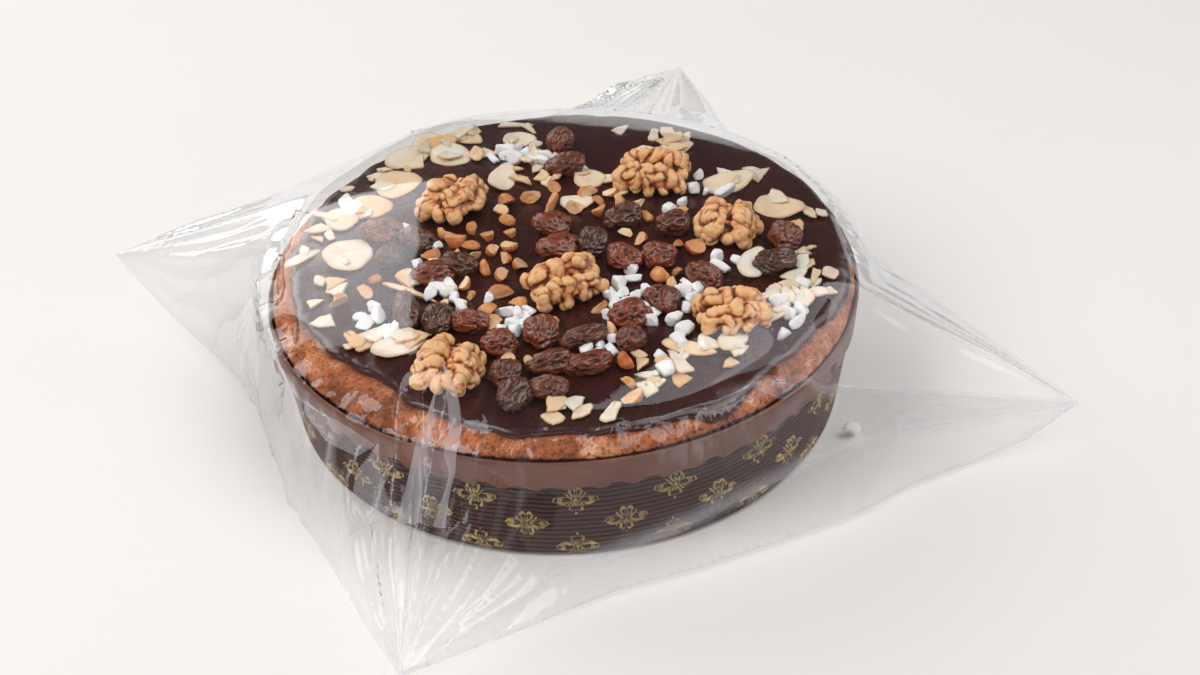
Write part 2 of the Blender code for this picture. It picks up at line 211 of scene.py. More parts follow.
def glazeReach(angleDeg):
    # a smooth curve through glazeRun, with the lip's small ripples
    angles = np.array(sorted(glazeRun))
    reach = np.array([glazeRun[a] for a in angles], dtype=float)
    angle = (np.asarray(angleDeg, dtype=float) + 180) % 360 - 180
    k = np.searchsorted(angles, angle, side="right") - 1
    ends = np.append(angles, 180)
    t = (angle - ends[k]) / (ends[k + 1] - ends[k])
    p = [reach[(k + j) % len(angles)] for j in (-1, 0, 1, 2)]
    bend = p[1] + 0.5 * t * (p[2] - p[0] + t * (2 * p[0] - 5 * p[1] + 4 * p[2] - p[3]
                                                + t * (3 * (p[1] - p[2]) + p[3] - p[0])))
    a = np.radians(angle)
    ripple = 0.55 * np.sin(17 * a) + 0.35 * np.sin(29 * a + 1) + 0.25 * np.sin(47 * a + 2)
    return np.minimum((bend + ripple) * mm, torte["spongeEdge"] - 0.2 * mm)


def glazeTop(x, y):
    # height of the glaze's face, where the toppings lie
    return crustHeight(np.hypot(x, y)) + 0.4 * mm + torte["glazeThickness"]


# camera, light and floor

studio = {
    "target": (12.3 * mm, 25.3 * mm, 0),
    "distance": 868.3 * mm,
    "elevation": 36.13,
    "roll": -2.32,
    "lens": 69.0,
    "floorColour": "#f5f2ee",
    "backLevel": 0.06,
    "frontLevel": 0.265,
}


def placeCamera():
    rise, roll = math.radians(studio["elevation"]), math.radians(studio["roll"])
    back = Vector((0, -math.cos(rise), math.sin(rise)))
    up = Vector((0, math.sin(rise), math.cos(rise)))
    right = Vector((1, 0, 0))
    sideways = right * math.cos(roll) + up * math.sin(roll)
    upwards = up * math.cos(roll) - right * math.sin(roll)
    matrix = Matrix((sideways, upwards, back)).transposed().to_4x4()
    matrix.translation = Vector(studio["target"]) + back * studio["distance"]
    camera = bpy.data.objects.new("camera", bpy.data.cameras.new("camera"))
    camera.data.lens = studio["lens"]
    camera.matrix_world = matrix
    bpy.context.scene.collection.objects.link(camera)
    bpy.context.scene.camera = camera


def softbox(name, azimuth, elevation, distance, width, height, watts, colour="#ffffff", turn=0):
    # a rectangular lamp that looks at the torte from a compass angle (90 is the far side)
    a, e = math.radians(azimuth), math.radians(elevation)
    way = Vector((math.cos(a) * math.cos(e), math.sin(a) * math.cos(e), math.sin(e)))
    lamp = bpy.data.lights.new(name, "AREA")
    lamp.shape = "RECTANGLE"
    lamp.size, lamp.size_y = width, height
    lamp.energy = watts
    lamp.color = linear(colour)[:3]
    holder = bpy.data.objects.new(name, lamp)
    aim = way.to_track_quat("Z", "Y").to_matrix().to_4x4() @ Matrix.Rotation(math.radians(turn), 4, "Z")
    holder.matrix_world = Matrix.Translation(way * distance) @ aim
    bpy.context.scene.collection.objects.link(holder)
    return holder


def lightStudio():
    softbox("keyLeft", 130, 28, 1.8, 1.2, 1.15, 14.6, "#fffdfa", 40)
    # the panel on the right shows only in gloss: without it the film's right wing would mirror nothing
    panel = softbox("fillRight", 15, 36, 1.8, 2.3, 1.5, 26, "#fcfcff")
    panel.visible_diffuse = False
    softbox("sideLeft", 212, 44, 1.9, 1.0, 1.2, 18.2)
    softbox("sideRight", 336, 58, 2.1, 1.5, 1.4, 21.5)
    world = bpy.data.worlds.new("studio")
    bpy.context.scene.world = world
    world.use_nodes = True
    tree = world.node_tree
    backdrop = tree.nodes["Background"]
    # a pale room in front of the table, a dark wall behind it
    way = add(tree, "ShaderNodeSeparateXYZ",
              {0: add(tree, "ShaderNodeTexCoord").outputs["Generated"]}).outputs["Y"]
    level = add(tree, "ShaderNodeMapRange",
                {0: way, 1: 0.25, 2: -0.6, 3: studio["backLevel"], 4: studio["frontLevel"]})
    tree.links.new(level.outputs[0], backdrop.inputs["Strength"])
    backdrop.inputs["Color"].default_value = linear("#f8f6f4")
    bpy.context.scene.view_settings.view_transform = "Standard"


def layFloor():
    # matt white painted board: even, with a trace of warm tone
    half, drop = 2.2, -0.3 * mm
    floor = meshObject("floor",
                       [(-half, -half, drop), (half, -half, drop), (half, half, drop), (-half, half, drop)],
                       [(0, 1, 2, 3)], False)
    material, tree = startMaterial("painted board, matt white")
    place = add(tree, "ShaderNodeTexCoord").outputs["Object"]
    mottle = add(tree, "ShaderNodeTexNoise", {"Vector": place, "Scale": 3.0, "Detail": 2.0}).outputs[0]
    colour = colourRamp(tree, mottle, ((0.3, studio["floorColour"]), (0.7, "#f1eeea")))
    finishMaterial(tree, add(tree, "ShaderNodeBsdfPrincipled", {"Base Color": colour, "Roughness": 0.8}))
    floor.data.materials.append(material)


placeCamera()
lightStudio()
layFloor()
print("studio set")


# ribbed paper case

paperCase = {
    "ribs": 15,
    "ribDepth": 0.75 * mm,
    "ribStart": 2.6 * mm,
    "wallTop": 40 * mm,
    "paper": 0.35 * mm,
    "around": 400,
    "up": 112,
    # the lighter colour painted on the rib crests as a sheen
    "crestColour": "#5f3129",
}


def wallShapeTree():
    # node group: height and angle on the wall to its radius, ribs and slight waviness included
    tree = bpy.data.node_groups.new("wallShape", "GeometryNodeTree")
    for label in ("Height", "Angle", "Lift"):
        tree.interface.new_socket(label, in_out="INPUT", socket_type="NodeSocketFloat")
    tree.interface.new_socket("Position", in_out="OUTPUT", socket_type="NodeSocketVector")
    given = add(tree, "NodeGroupInput")
    height, angle = given.outputs["Height"], given.outputs["Angle"]
    cosine = add(tree, "ShaderNodeMath", {0: angle}, operation="COSINE").outputs[0]
    sine = add(tree, "ShaderNodeMath", {0: angle}, operation="SINE").outputs[0]
    flare = (torte["rimRadius"] - torte["footRadius"]) / torte["caseHeight"]
    plain = add(tree, "ShaderNodeMath", {0: height, 1: flare, 2: torte["footRadius"]},
                operation="MULTIPLY_ADD").outputs[0]
    # a little noise in the ribs' height, so they waver like pressed paper
    onCircle = add(tree, "ShaderNodeCombineXYZ", {0: cosine, 1: sine, 2: height}).outputs[0]
    waver = add(tree, "ShaderNodeTexNoise", {"Vector": onCircle, "Scale": 7.0, "Detail": 1.0}).outputs[0]
    shifted = add(tree, "ShaderNodeMath", {0: waver, 1: 1.6 * mm, 2: height},
                  operation="MULTIPLY_ADD").outputs[0]
    pitch = (35 * mm - paperCase["ribStart"]) / paperCase["ribs"]
    phase = add(tree, "ShaderNodeMath", {0: shifted, 1: 2 * math.pi / pitch}, operation="MULTIPLY").outputs[0]
    wave = add(tree, "ShaderNodeMath", {0: phase}, operation="COSINE").outputs[0]
    ribs = add(tree, "ShaderNodeMath", {0: wave, 1: paperCase["ribDepth"] / 2, 2: -paperCase["ribDepth"] / 2},
               operation="MULTIPLY_ADD").outputs[0]
    footFade = add(tree, "ShaderNodeMapRange", {0: height, 1: 0.0, 2: 2.4 * mm, 3: -2.0 * mm, 4: 0.0},
                   interpolation_type="SMOOTHERSTEP").outputs[0]
    ribFade = add(tree, "ShaderNodeMapRange", {0: height, 1: 0.8 * mm, 2: 3 * mm, 3: 0.0, 4: 1.0}).outputs[0]
    ribbed = add(tree, "ShaderNodeMath", {0: ribs, 1: ribFade, 2: footFade},
                 operation="MULTIPLY_ADD").outputs[0]
    radius = add(tree, "ShaderNodeMath", {0: plain, 1: ribbed}, operation="ADD").outputs[0]
    lifted = add(tree, "ShaderNodeMath", {0: radius, 1: given.outputs["Lift"]}, operation="ADD").outputs[0]
    x = add(tree, "ShaderNodeMath", {0: cosine, 1: lifted}, operation="MULTIPLY").outputs[0]
    y = add(tree, "ShaderNodeMath", {0: sine, 1: lifted}, operation="MULTIPLY").outputs[0]
    place = add(tree, "ShaderNodeCombineXYZ", {0: x, 1: y, 2: height}).outputs[0]
    add(tree, "NodeGroupOutput", {"Position": place})
    return tree


def ribbedWallTree(wallShape):
    # a grid bent round to the wall, its lowest row drawn in to the middle as the case's floor
    tree = bpy.data.node_groups.new("ribbedWall", "GeometryNodeTree")
    tree.interface.new_socket("Geometry", in_out="OUTPUT", socket_type="NodeSocketGeometry")
    tree.interface.new_socket("Around", in_out="INPUT", socket_type="NodeSocketInt")
    tree.interface.new_socket("Up", in_out="INPUT", socket_type="NodeSocketInt")
    tree.interface.new_socket("Top", in_out="INPUT", socket_type="NodeSocketFloat")
    tree.interface.new_socket("Paper", in_out="INPUT", socket_type="NodeSocketMaterial")
    given = add(tree, "NodeGroupInput")
    grid = add(tree, "GeometryNodeMeshGrid", {
        "Size X": 1.0, "Size Y": 1.0, "Vertices X": given.outputs["Around"],
        "Vertices Y": given.outputs["Up"]})
    parts = add(tree, "ShaderNodeSeparateXYZ", {0: add(tree, "GeometryNodeInputPosition").outputs[0]})
    angle = add(tree, "ShaderNodeMath", {0: parts.outputs[0], 1: 2 * math.pi},
                operation="MULTIPLY").outputs[0]
    share = add(tree, "ShaderNodeMath", {0: parts.outputs[1], 1: 0.5}, operation="ADD").outputs[0]
    height = add(tree, "ShaderNodeMath", {0: share, 1: given.outputs["Top"]}, operation="MULTIPLY").outputs[0]
    wall = add(tree, "GeometryNodeGroup", node_tree=wallShape)
    tree.links.new(height, wall.inputs["Height"])
    tree.links.new(angle, wall.inputs["Angle"])
    keep = add(tree, "ShaderNodeMath", {0: share, 1: 1e-5}, operation="GREATER_THAN").outputs[0]
    pinned = add(tree, "ShaderNodeVectorMath", {0: wall.outputs[0], 3: keep}, operation="SCALE").outputs[0]
    bent = add(tree, "GeometryNodeSetPosition",
               {"Geometry": grid.outputs["Mesh"], "Position": pinned}).outputs[0]
    closed = add(tree, "GeometryNodeMergeByDistance", {"Geometry": bent, "Distance": 1e-6}).outputs[0]
    rounded = add(tree, "GeometryNodeSetShadeSmooth", {"Geometry": closed}).outputs[0]
    covered = add(tree, "GeometryNodeSetMaterial",
                  {"Geometry": rounded, "Material": given.outputs["Paper"]}).outputs[0]
    add(tree, "NodeGroupOutput", {"Geometry": covered})
    return tree


def nodesModifier(piece, tree, **values):
    # values are set by each input's identifier, before the first evaluation
    modifier = piece.modifiers.new(tree.name, "NODES")
    modifier.node_group = tree
    for item in tree.interface.items_tree:
        if item.in_out == "INPUT" and item.name.replace(" ", "") in values:
            modifier[item.identifier] = values[item.name.replace(" ", "")]
    return modifier


def ribbedPaper():
    # greaseproof baking paper, dyed and calendered: dark, with a dull shine along each rib from its gloss,
    # and a painted sheen: a lighter colour on each rib's crest
    # fibres 1.1 mm apart, coarser than real ones so that they show; blotches 18 mm apart
    material, tree = startMaterial("baking paper, dyed dark brown")
    place = add(tree, "ShaderNodeTexCoord").outputs["Object"]
    fibre = add(tree, "ShaderNodeTexNoise", {"Vector": place, "Scale": 900.0, "Detail": 3.0}).outputs[0]
    patch = add(tree, "ShaderNodeTexNoise", {"Vector": place, "Scale": 55.0, "Detail": 2.0}).outputs[0]
    # painted sheen: the rib crests, found by pointiness, get the lighter colour
    crest = add(tree, "ShaderNodeNewGeometry").outputs["Pointiness"]
    sheenAndWhitening = add(tree, "ShaderNodeMapRange", {0: crest, 1: 0.49, 2: 0.56}).outputs[0]
    base = colourRamp(tree, patch, ((0.3, "#150908"), (0.7, "#20100d")))
    colour = blendColours(tree, sheenAndWhitening, base, linear(paperCase["crestColour"]))
    rough = add(tree, "ShaderNodeMapRange", {0: fibre, 3: 0.4, 4: 0.6}).outputs[0]
    shader = add(tree, "ShaderNodeBsdfPrincipled", {"Base Color": colour, "Roughness": rough, "IOR": 1.4})
    bump = add(tree, "ShaderNodeBump", {"Height": fibre, "Strength": 0.15, "Distance": 0.1 * mm}).outputs[0]
    finishMaterial(tree, shader, bump)
    return material


def buildPaperCase(wallShape):
    paper = ribbedPaper()
    piece = meshObject("paperCase", [], [])
    nodesModifier(piece, ribbedWallTree(wallShape), Around=paperCase["around"] + 1, Up=paperCase["up"],
                  Top=paperCase["wallTop"], Paper=paper)
    wall = piece.modifiers.new("paper", "SOLIDIFY")
    wall.thickness = paperCase["paper"]
    wall.offset = -1
    bake(piece)
    putOn(piece, paper, ["baking_case"])


wallShape = wallShapeTree()
buildPaperCase(wallShape)
print("paper case made")


# printed ornament: four petals between scrolls

ornament = {
    "columns": 19,
    # height in mm, share of a column it is shifted by
    "rows": ((27.5, 0.0), (16.2, 0.5), (4.6, 0.0)),
    "line": 0.66 * mm,
    "lift": 0.06 * mm,
    "startAngle": 6.0,
}


# each stroke's middle line in mm and its width share at each point, for the upper right quarter
strokes = {
    "petal": ((0.1, 0.9, 0.5), (0.9, 1.9, 0.8), (1.75, 3.0, 1.1), (2.1, 4.2, 1.3), (1.6, 5.2, 1.2),
              (0.8, 5.3, 1.0), (0.1, 4.5, 0.6)),
    "leaf": ((1.0, 0.15, 0.5), (2.3, 1.25, 0.9), (3.9, 1.75, 1.3), (5.6, 1.5, 1.1), (6.9, 0.7, 0.8),
             (7.5, 0.05, 0.4)),
    "curl": ((5.9, 0.1, 0.5), (5.6, 0.75, 0.9), (4.8, 0.9, 1.0), (4.3, 0.4, 0.8)),
    "ray": ((0.9, 0.9, 0.4), (2.2, 2.0, 0.6), (3.5, 3.2, 0.9)),
    "vein": ((0.05, 1.6, 0.3), (0.35, 2.6, 0.6), (0.5, 3.5, 0.3)),
}


def strokePoints(kind, flipX=1, flipY=1):
    # a smooth line through a stroke's points, turned into one of the four quarters
    given = np.array(strokes[kind])
    known = np.arange(len(given))
    fine = np.linspace(0, len(given) - 1, 5 * len(given))
    line = np.column_stack([np.interp(fine, known, given[:, k]) for k in range(3)])
    for _ in range(3):
        line[1:-1] = (line[:-2] + 2 * line[1:-1] + line[2:]) / 4
    return [(flipX * x, flipY * y, w) for x, y, w in line]


def ornamentMesh():
    # the strokes as flat ribbons in the x, y plane, cut short enough to follow the ribs
    verts, faces = [], []

    def ribbon(points):
        line = np.array(points)
        path = line[:, :2] * mm
        half = line[:, 2] * ornament["line"] / 2
        along = np.gradient(path, axis=0)
        along /= np.maximum(np.linalg.norm(along, axis=1), 1e-9)[:, None]
        side = np.stack([-along[:, 1], along[:, 0]], 1) * half[:, None]
        start = len(verts)
        for p, s in zip(path, side):
            verts.extend([(*(p - s), 0), (*p, 0), (*(p + s), 0)])
        for i in range(len(path) - 1):
            a = start + 3 * i
            faces.append((a, a + 1, a + 4, a + 3))
            faces.append((a + 1, a + 2, a + 5, a + 4))

    def dot(x, y, radius):
        start = len(verts)
        verts.append((x * mm, y * mm, 0))
        verts.extend([((x + radius * math.cos(a)) * mm, (y + radius * math.sin(a)) * mm, 0)
                      for a in np.linspace(0, 2 * math.pi, 12, endpoint=False)])
        faces.extend([(start, start + 1 + i, start + 1 + (i + 1) % 12) for i in range(12)])

    for flipX in (1, -1):
        for flipY in (1, -1):
            for kind in strokes:
                ribbon(strokePoints(kind, flipX, flipY))
        dot(flipX * 5.0, 0, 0.45)
        dot(0, flipX * 6.3, 0.42)
    dot(0, 0, 0.7)
    return meshObject("ornamentShape", verts, faces, False)


def ornamentTree(wallShape):
    # one shape on every point of the staggered rows, then wrapped round the ribbed wall
    tree = bpy.data.node_groups.new("ornamentBand", "GeometryNodeTree")
    tree.interface.new_socket("Geometry", in_out="OUTPUT", socket_type="NodeSocketGeometry")
    tree.interface.new_socket("Geometry", in_out="INPUT", socket_type="NodeSocketGeometry")
    tree.interface.new_socket("Shape", in_out="INPUT", socket_type="NodeSocketObject")
    tree.interface.new_socket("Lift", in_out="INPUT", socket_type="NodeSocketFloat")
    tree.interface.new_socket("Print", in_out="INPUT", socket_type="NodeSocketMaterial")
    given = add(tree, "NodeGroupInput")
    shape = add(tree, "GeometryNodeObjectInfo", {"Object": given.outputs["Shape"]}).outputs["Geometry"]
    placed = add(tree, "GeometryNodeInstanceOnPoints",
                 {"Points": given.outputs["Geometry"], "Instance": shape}).outputs[0]
    real = add(tree, "GeometryNodeRealizeInstances", {"Geometry": placed}).outputs[0]
    parts = add(tree, "ShaderNodeSeparateXYZ", {0: add(tree, "GeometryNodeInputPosition").outputs[0]})
    angle = add(tree, "ShaderNodeMath", {0: parts.outputs[0], 1: 101 * mm}, operation="DIVIDE").outputs[0]
    wall = add(tree, "GeometryNodeGroup", node_tree=wallShape)
    tree.links.new(parts.outputs[1], wall.inputs["Height"])
    tree.links.new(angle, wall.inputs["Angle"])
    tree.links.new(given.outputs["Lift"], wall.inputs["Lift"])
    wrapped = add(tree, "GeometryNodeSetPosition", {"Geometry": real, "Position": wall.outputs[0]}).outputs[0]
    rounded = add(tree, "GeometryNodeSetShadeSmooth", {"Geometry": wrapped}).outputs[0]
    covered = add(tree, "GeometryNodeSetMaterial",
                  {"Geometry": rounded, "Material": given.outputs["Print"]}).outputs[0]
    add(tree, "NodeGroupOutput", {"Geometry": covered})
    return tree


def goldPrint():
    # bronze printing ink on paper: dull olive gold, thin in places
    # thin spots 2.4 mm apart, so the ink breaks up as it does on ribs
    material, tree = startMaterial("bronze ink, printed")
    place = add(tree, "ShaderNodeTexCoord").outputs["Object"]
    thin = add(tree, "ShaderNodeTexNoise", {"Vector": place, "Scale": 420.0, "Detail": 2.0}).outputs[0]
    colour = colourRamp(tree, thin, ((0.3, "#756036"), (0.5, "#a78f58"), (0.75, "#cbb47e")))
    shader = add(tree, "ShaderNodeBsdfPrincipled", {"Base Color": colour, "Roughness": 0.4, "Metallic": 0.25})
    finishMaterial(tree, shader)
    return material


def buildOrnament(wallShape):
    shape = ornamentMesh()
    spots = []
    for height, shift in ornament["rows"]:
        for column in range(ornament["columns"]):
            share = (column + shift) / ornament["columns"]
            around = (2 * math.pi * share + math.radians(ornament["startAngle"])) * 101 * mm
            spots.append((around, height * mm, 0))
    band = meshObject("goldOrnament", spots, [])
    ink = goldPrint()
    nodesModifier(band, ornamentTree(wallShape), Shape=shape, Lift=ornament["lift"], Print=ink)
    bake(band)
    trimOrnament(band)
    bpy.data.objects.remove(shape)
    putOn(band, ink, ["baking_case"])


def trimOrnament(band):
    # the print runs out of sight under the collar and round the foot: what would show past them is cut off
    bm = bmesh.new()
    bm.from_mesh(band.data)
    spans = [(f, [v.co.z for v in f.verts]) for f in bm.faces]
    gone = [f for f, heights in spans if min(heights) < 0.7 * mm or max(heights) > 36 * mm]
    bmesh.ops.delete(bm, geom=gone, context="FACES")
    bmesh.ops.recalc_face_normals(bm, faces=bm.faces)
    outward = sum(f.normal.dot(Vector((*f.calc_center_median()[:2], 0))) for f in bm.faces)
    if outward < 0:
        bmesh.ops.reverse_faces(bm, faces=bm.faces)
    bm.to_mesh(band.data)
    bm.free()


buildOrnament(wallShape)
print("ornament printed")


# collar of plain paper folded over the rim

collar = {
    "notches": 60,
    "perNotch": 14,
    "notchHeight": 2.5 * mm,
    "depth": 11.2 * mm,
    "paper": 0.3 * mm,
}


def buildCollar():
    around = collar["notches"] * collar["perNotch"]
    angle = np.arange(around) * 2 * math.pi / around
    share = (np.arange(around) % collar["perNotch"]) / collar["perNotch"]
    draw = random.Random(5)
    heights = np.repeat([collar["notchHeight"] * draw.uniform(0.45, 1.1) for _ in range(collar["notches"])],
                        collar["perNotch"])
    notch = np.sqrt(np.clip(1 - ((share - 0.5) / 0.34) ** 2, 0, 1)) * heights
    ring = np.stack([np.cos(angle), np.sin(angle), np.zeros(around)], 1)
    ragged = 0.25 * mm * noiseAt(ring, 90)
    edge = torte["caseHeight"] - collar["depth"] + notch + ragged + 0.5 * mm * noiseAt(ring, 9, 3.0)
    top = torte["caseHeight"] + 0.75 * mm
    rim = torte["rimRadius"] + 0.55 * mm
    buckle = 0.28 * mm * noiseAt(ring, 14, 5.0)
    rows = []
    for k in np.linspace(0, 1, 9):
        z = edge + (top - 1.4 * mm - edge) * k
        flare = torte["footRadius"] + (rim - torte["footRadius"]) * z / torte["caseHeight"]
        rows.append((flare + 0.6 * mm * (1 - k) ** 2 + buckle * (1 - 0.6 * k), z))
    # the fold over the rim
    for k in (0.3, 0.62, 0.88, 1.0):
        a = k * math.pi
        rows.append((rim - 0.75 * mm + 0.75 * mm * math.cos(a) + buckle * 0.4,
                     top - 1.4 * mm + 1.4 * mm * math.sin(a) ** 0.8))
    rows.append((rim - 1.6 * mm + 0 * edge, top - 4 * mm + 0 * edge))
    verts = np.concatenate([ring * np.broadcast_to(r, around)[:, None]
                            + np.array([0, 0, 1]) * np.broadcast_to(z, around)[:, None] for r, z in rows])
    piece = meshObject("foldedCollar", verts, gridFaces(len(rows), around))
    wall = piece.modifiers.new("paper", "SOLIDIFY")
    wall.thickness = collar["paper"]
    wall.offset = -1
    bake(piece)
    putOn(piece, plainPaper(), ["collar"])


def plainPaper():
    # coated paper, smooth: a soft even sheen with rubbed streaks and faint creases
    # rubbed patches 17 mm apart; a grain of 1.4 mm, coarser than real so that it shows
    material, tree = startMaterial("coated paper, mauve brown")
    place = add(tree, "ShaderNodeTexCoord").outputs["Object"]
    patch = add(tree, "ShaderNodeTexNoise", {"Vector": place, "Scale": 60.0, "Detail": 4.0}).outputs[0]
    fine = add(tree, "ShaderNodeTexNoise", {"Vector": place, "Scale": 700.0, "Detail": 2.0}).outputs[0]
    colour = colourRamp(tree, patch, ((0.3, "#5f3324"), (0.55, "#6e3f2f"), (0.75, "#7b4a39")))
    rough = add(tree, "ShaderNodeMapRange", {0: patch, 3: 0.38, 4: 0.56}).outputs[0]
    shader = add(tree, "ShaderNodeBsdfPrincipled", {"Base Color": colour, "Roughness": rough, "IOR": 1.47})
    bump = add(tree, "ShaderNodeBump", {"Height": fine, "Strength": 0.12, "Distance": 0.1 * mm})
    broad = add(tree, "ShaderNodeBump", {"Height": patch, "Strength": 0.25, "Distance": 0.6 * mm,
                                         "Normal": bump.outputs[0]}).outputs[0]
    finishMaterial(tree, shader, broad)
    return material


buildCollar()
print("collar folded")


# sponge

spongeLook = {
    "around": 1500,
    "poreSize": 1.7 * mm,
    "poreDepth": 0.7 * mm,
    "lumps": 0.9 * mm,
}


def buildSponge():
    around = spongeLook["around"]
    angle = np.arange(around) * 2 * math.pi / around
    ring = np.stack([np.cos(angle), np.sin(angle), np.zeros(around)], 1)
    rows = []
    for z in (43.5, 46.0):
        rows.append(ring * (torte["spongeEdge"] - 0.5 * mm) + np.array([0, 0, z * mm]))
    radii = torte["spongeEdge"] - (torte["spongeEdge"] - 84 * mm) * np.linspace(0, 1, 30) ** 1.6
    for radius in radii:
        rows.append(ring * radius + np.array([0, 0, float(crustHeight(radius))]))
    for radius in (60 * mm, 25 * mm):
        rows.append(ring * radius + np.array([0, 0, float(crustHeight(radius))]))
    verts = np.concatenate(rows)
    outward = verts.copy()
    outward[:, 2] = (verts[:, 2] - 44 * mm) * 1.3
    outward /= np.linalg.norm(outward, axis=1)[:, None]
    lumps = noiseAt(verts, 60) * 0.6 + noiseAt(verts, 190, 4.0) * 0.3 + noiseAt(verts, 520, 8.0) * 0.16
    pores = np.array([noise.voronoi(p)[0][0] for p in (verts / spongeLook["poreSize"]).tolist()])
    pits = np.clip(1 - pores / 0.42, 0, 1) ** 0.7
    rise = spongeLook["lumps"] * lumps - spongeLook["poreDepth"] * pits
    verts += outward * rise[:, None]
    faces = list(gridFaces(len(rows), around))
    last = (len(rows) - 1) * around
    middle = np.array([[0, 0, torte["domeTop"]]])
    low = np.array([[0, 0, 43.5 * mm]])
    verts = np.concatenate([verts, middle, low])
    top, bottom = len(verts) - 2, len(verts) - 1
    faces += [(last + i, last + (i + 1) % around, top) for i in range(around)]
    faces += [((i + 1) % around, i, bottom) for i in range(around)]
    piece = meshObject("spongeTop", verts, faces)
    faceOutwards(piece)
    # the pits' and lumps' heights also go to the finish, which paints shade in the pits and light on the
    # lumps
    floatLayer(piece.data, "pit", np.append(pits, [0, 0]))
    floatLayer(piece.data, "lump", np.append(lumps, [0, 0]))
    putOn(piece, bakedSponge(), ["sponge"])


def bakedSponge():
    # baked sponge crust, finely pored: matt, with painted shade in the pores and painted light on the raised
    # crumb
    # pores 1.2 mm apart; lighter and darker crust 8 mm apart
    material, tree = startMaterial("chocolate sponge, baked")
    place = add(tree, "ShaderNodeTexCoord").outputs["Object"]
    pit = add(tree, "ShaderNodeAttribute", attribute_name="pit").outputs["Fac"]
    lump = add(tree, "ShaderNodeAttribute", attribute_name="lump").outputs["Fac"]
    patch = add(tree, "ShaderNodeTexNoise",
                {"Vector": place, "Scale": 130.0, "Detail": 4.0, "Roughness": 0.6}).outputs[0]
    crumb = add(tree, "ShaderNodeTexVoronoi", {"Vector": place, "Scale": 850.0}).outputs["Distance"]
    # painted light: the raised lumps lighter, over random patches of tone
    tone = add(tree, "ShaderNodeMath", {0: lump, 1: 0.5, 2: patch}, operation="MULTIPLY_ADD").outputs[0]
    base = colourRamp(tree, tone, ((0.25, "#854a2c"), (0.5, "#b86c44"), (0.75, "#d79466")))
    # painted shade: the pits, and the cells of a crumb pattern, darkened as pores
    pore = add(tree, "ShaderNodeMapRange", {0: crumb, 1: 0.0, 2: 0.42, 3: 0.9, 4: 0.0}).outputs[0]
    paintedPoreShade = add(tree, "ShaderNodeMath", {0: pit, 1: pore}, operation="MAXIMUM").outputs[0]
    colour = blendColours(tree, paintedPoreShade, base, linear("#472617"))
    shader = add(tree, "ShaderNodeBsdfPrincipled", {"Base Color": colour, "Roughness": 0.9, "IOR": 1.4,
                                                    "Subsurface Weight": 0.08, "Subsurface Scale": 1.5 * mm})
    bump = add(tree, "ShaderNodeBump", {"Height": crumb, "Strength": 0.5, "Distance": 0.35 * mm}).outputs[0]
    finishMaterial(tree, shader, bump)
    return material


buildSponge()
print("sponge baked")


# poured glaze

glazeLook = {
    "around": 900,
    "unevenness": 0.35 * mm,
}


def buildGlaze():
    around = glazeLook["around"]
    angle = np.arange(around) * 2 * math.pi / around
    reach = glazeReach(np.degrees(angle))
    ring = np.stack([np.cos(angle), np.sin(angle)], 1)
    thick = torte["glazeThickness"]
    rows = []
    # share of the way out, millimetres past it, and height over the crust as a share of the thickness
    under = ((0.9, 0, 0.02), (1.0, -2.5, 0.02), (1.0, -0.9, 0.02))
    lip = ((1.0, -0.25, 0.12), (1.0, 0.1, 0.3), (1.0, 0.22, 0.5), (1.0, 0.1, 0.72), (1.0, -0.3, 0.92),
           (1.0, -0.9, 1.04), (1.0, -1.7, 1.1), (1.0, -2.7, 1.1), (1.0, -4.0, 1.06), (1.0, -6.0, 1.02))
    top = [(round(0.92 - 0.03 * k, 2), 0, 1.0) for k in range(31)]
    for share, past, rise in (*under, *lip, *top):
        radius = reach * share + past * mm
        flat = ring * radius[:, None]
        inset = np.minimum(radius, reach - 0.4 * mm)
        z = crustHeight(inset) + 0.3 * mm + thick * rise
        rows.append(np.column_stack([flat, z]))
    verts = np.concatenate(rows)
    upper = np.repeat([0] * len(under) + [0.4] * 4 + [1] * (len(lip) + len(top) - 4), around)
    plan = verts * (1, 1, 0)
    swell = noiseAt(plan, 75) + 0.5 * noiseAt(plan, 190, 3.0) + 0.2 * noiseAt(plan, 480, 6.0)
    verts[:, 2] += glazeLook["unevenness"] * swell * upper
    faces = list(gridFaces(len(rows), around))
    last = (len(rows) - 1) * around
    verts = np.concatenate([verts, [[0, 0, verts[last:, 2].mean()], [0, 0, torte["domeTop"] + 0.3 * mm]]])
    faces += [(last + i, last + (i + 1) % around, len(verts) - 2) for i in range(around)]
    faces += [((i + 1) % around, i, len(verts) - 1) for i in range(around)]
    piece = meshObject("pouredGlaze", verts, faces)
    faceOutwards(piece)
    putOn(piece, darkGlaze(), ["glaze"])


